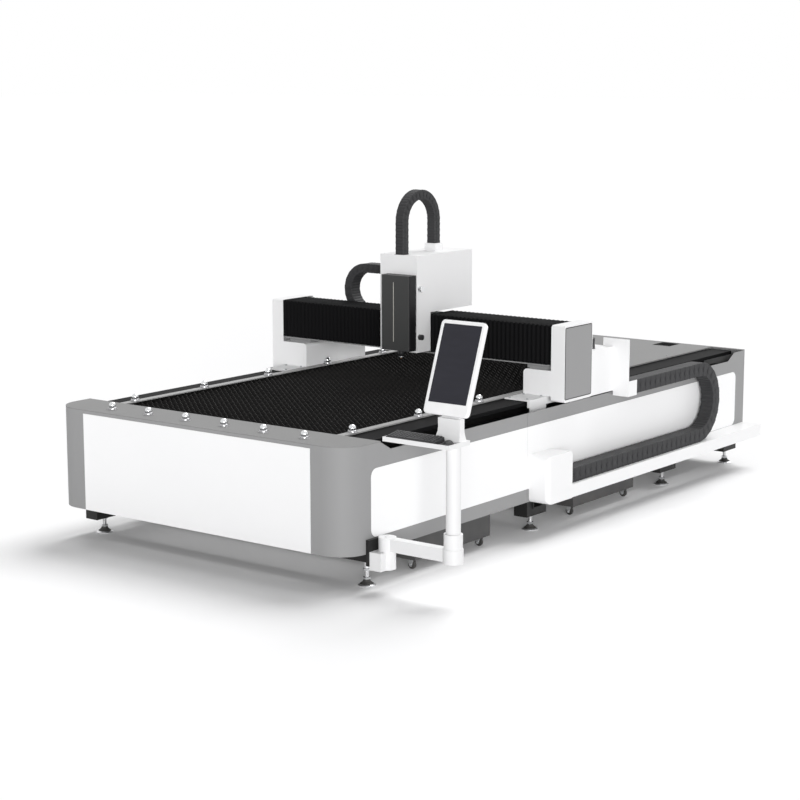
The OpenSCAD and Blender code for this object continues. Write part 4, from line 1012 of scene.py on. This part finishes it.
ZINC = metal("zinc_plate", (0.74, 0.74, 0.75), 0.42, (90.0, 90.0, 90.0), strength=0.06)
CHROME = metal("polished_chrome", (0.72, 0.73, 0.74), 0.1, (30.0, 30.0, 30.0), spread=0.1, strength=0.03)
CUP_STEEL = metal("cup_steel", (0.42, 0.42, 0.43), 0.3, (60.0, 60.0, 60.0), strength=0.05)
COPPER = metal("nozzle_copper", (0.62, 0.36, 0.2), 0.25, (40.0, 40.0, 400.0))
BELLOWS = bellows_cloth("bellows_cloth")
NYLON = moulded("chain_nylon", (0.034, 0.034, 0.036), 0.55, cells=700.0, dust=0.04, shine=0.25)
RUBBER = moulded("black_rubber", (0.018, 0.018, 0.018), 0.65, cells=1200.0, dust=0.15, reach=0.1)
KEY_PLASTIC = moulded("keyboard_case", (0.022, 0.022, 0.024), 0.45, cells=1500.0)
CAP_PLASTIC = moulded("key_caps", (0.03, 0.03, 0.032), 0.55, cells=1800.0)
WHITE_CASE = moulded("monitor_white", (0.88, 0.88, 0.885), 0.32, cells=1600.0, strength=0.08)
SCREEN = dark_screen("display_dark")
CUTTER = two_tone_paint("cutting_head_dark", (0.02, 0.02, 0.021), (0.5, 0.49, 0.45), 0.35,
                        "X", -0.4289, False)
MOTOR = painted("motor_black", (0.03, 0.03, 0.032), 0.45, cloud=0.2)

NODE_FINISH = {
    "cross_beams bed_beams console_mount": FRAME_BLACK,
    "table_frame": STRIP,
    "slats": SLAT_STEEL,
    "front_cover side_covers rear_cover gantry_beam end_panels": BED_GREY,
    # The flange and deck take the darker grey copy, painted shade on their upward faces.
    "front_flange rear_deck": DECK_GREY_SHADED,
    "front_panel side_panels": PANEL_WHITE,
    # The chain shelf and box take the cover white, which is darker than the panels' white: painted shade
    # that keeps them below white.
    "chain_shelf chain_box": COVER_WHITE,
    "console_bracket console_arm console_post console_desk": CONSOLE_WHITE_SHADED,
    "base_plates leg_boxes end_covers drive_boxes chain_bracket carriage_cover": COVER_WHITE,
    "rail_covers": RAIL_BLACK,
    "linear_rails racks beam_rails slider_blocks pinion_right pinion_left z_rails z_screw": STEEL,
    "carriage_plate head_slide": MACHINED,
    "foot_pads transfer_balls": CHROME,
    "ball_cups": CUP_STEEL,
    "cutting_head": CUTTER,
    "x_motors z_motor": MOTOR,
    "head_cover": HEAD_PAINT,
    "nozzle": COPPER,
    "cart_front cart_rear": DARK_STEEL,
    "foot_cones cart_front_wheels_a cart_front_wheels_b cart_rear_wheels_a cart_rear_wheels_b": RUBBER,
    "bellows_left bellows_right": BELLOWS,
    "x_chain y_chain z_chain": NYLON,
    "keyboard": KEY_PLASTIC,
    "monitor": WHITE_CASE,
    "display": SCREEN,
}

bpy.context.scene.view_settings.view_transform = "Standard"
aim_camera()
studio_sky(0.36)
studio_floor((0.88, 0.88, 0.885), 0.08)
distant_lamp("key_lamp", (-0.53, 0.03, -0.84), 2.3, 36.0)
distant_lamp("fill_lamp", (0.73, 0.65, -0.1), 2.35, 24.0)
finish_nodes()
add_flexible()
add_console()
add_feet_and_casters()
add_fittings()
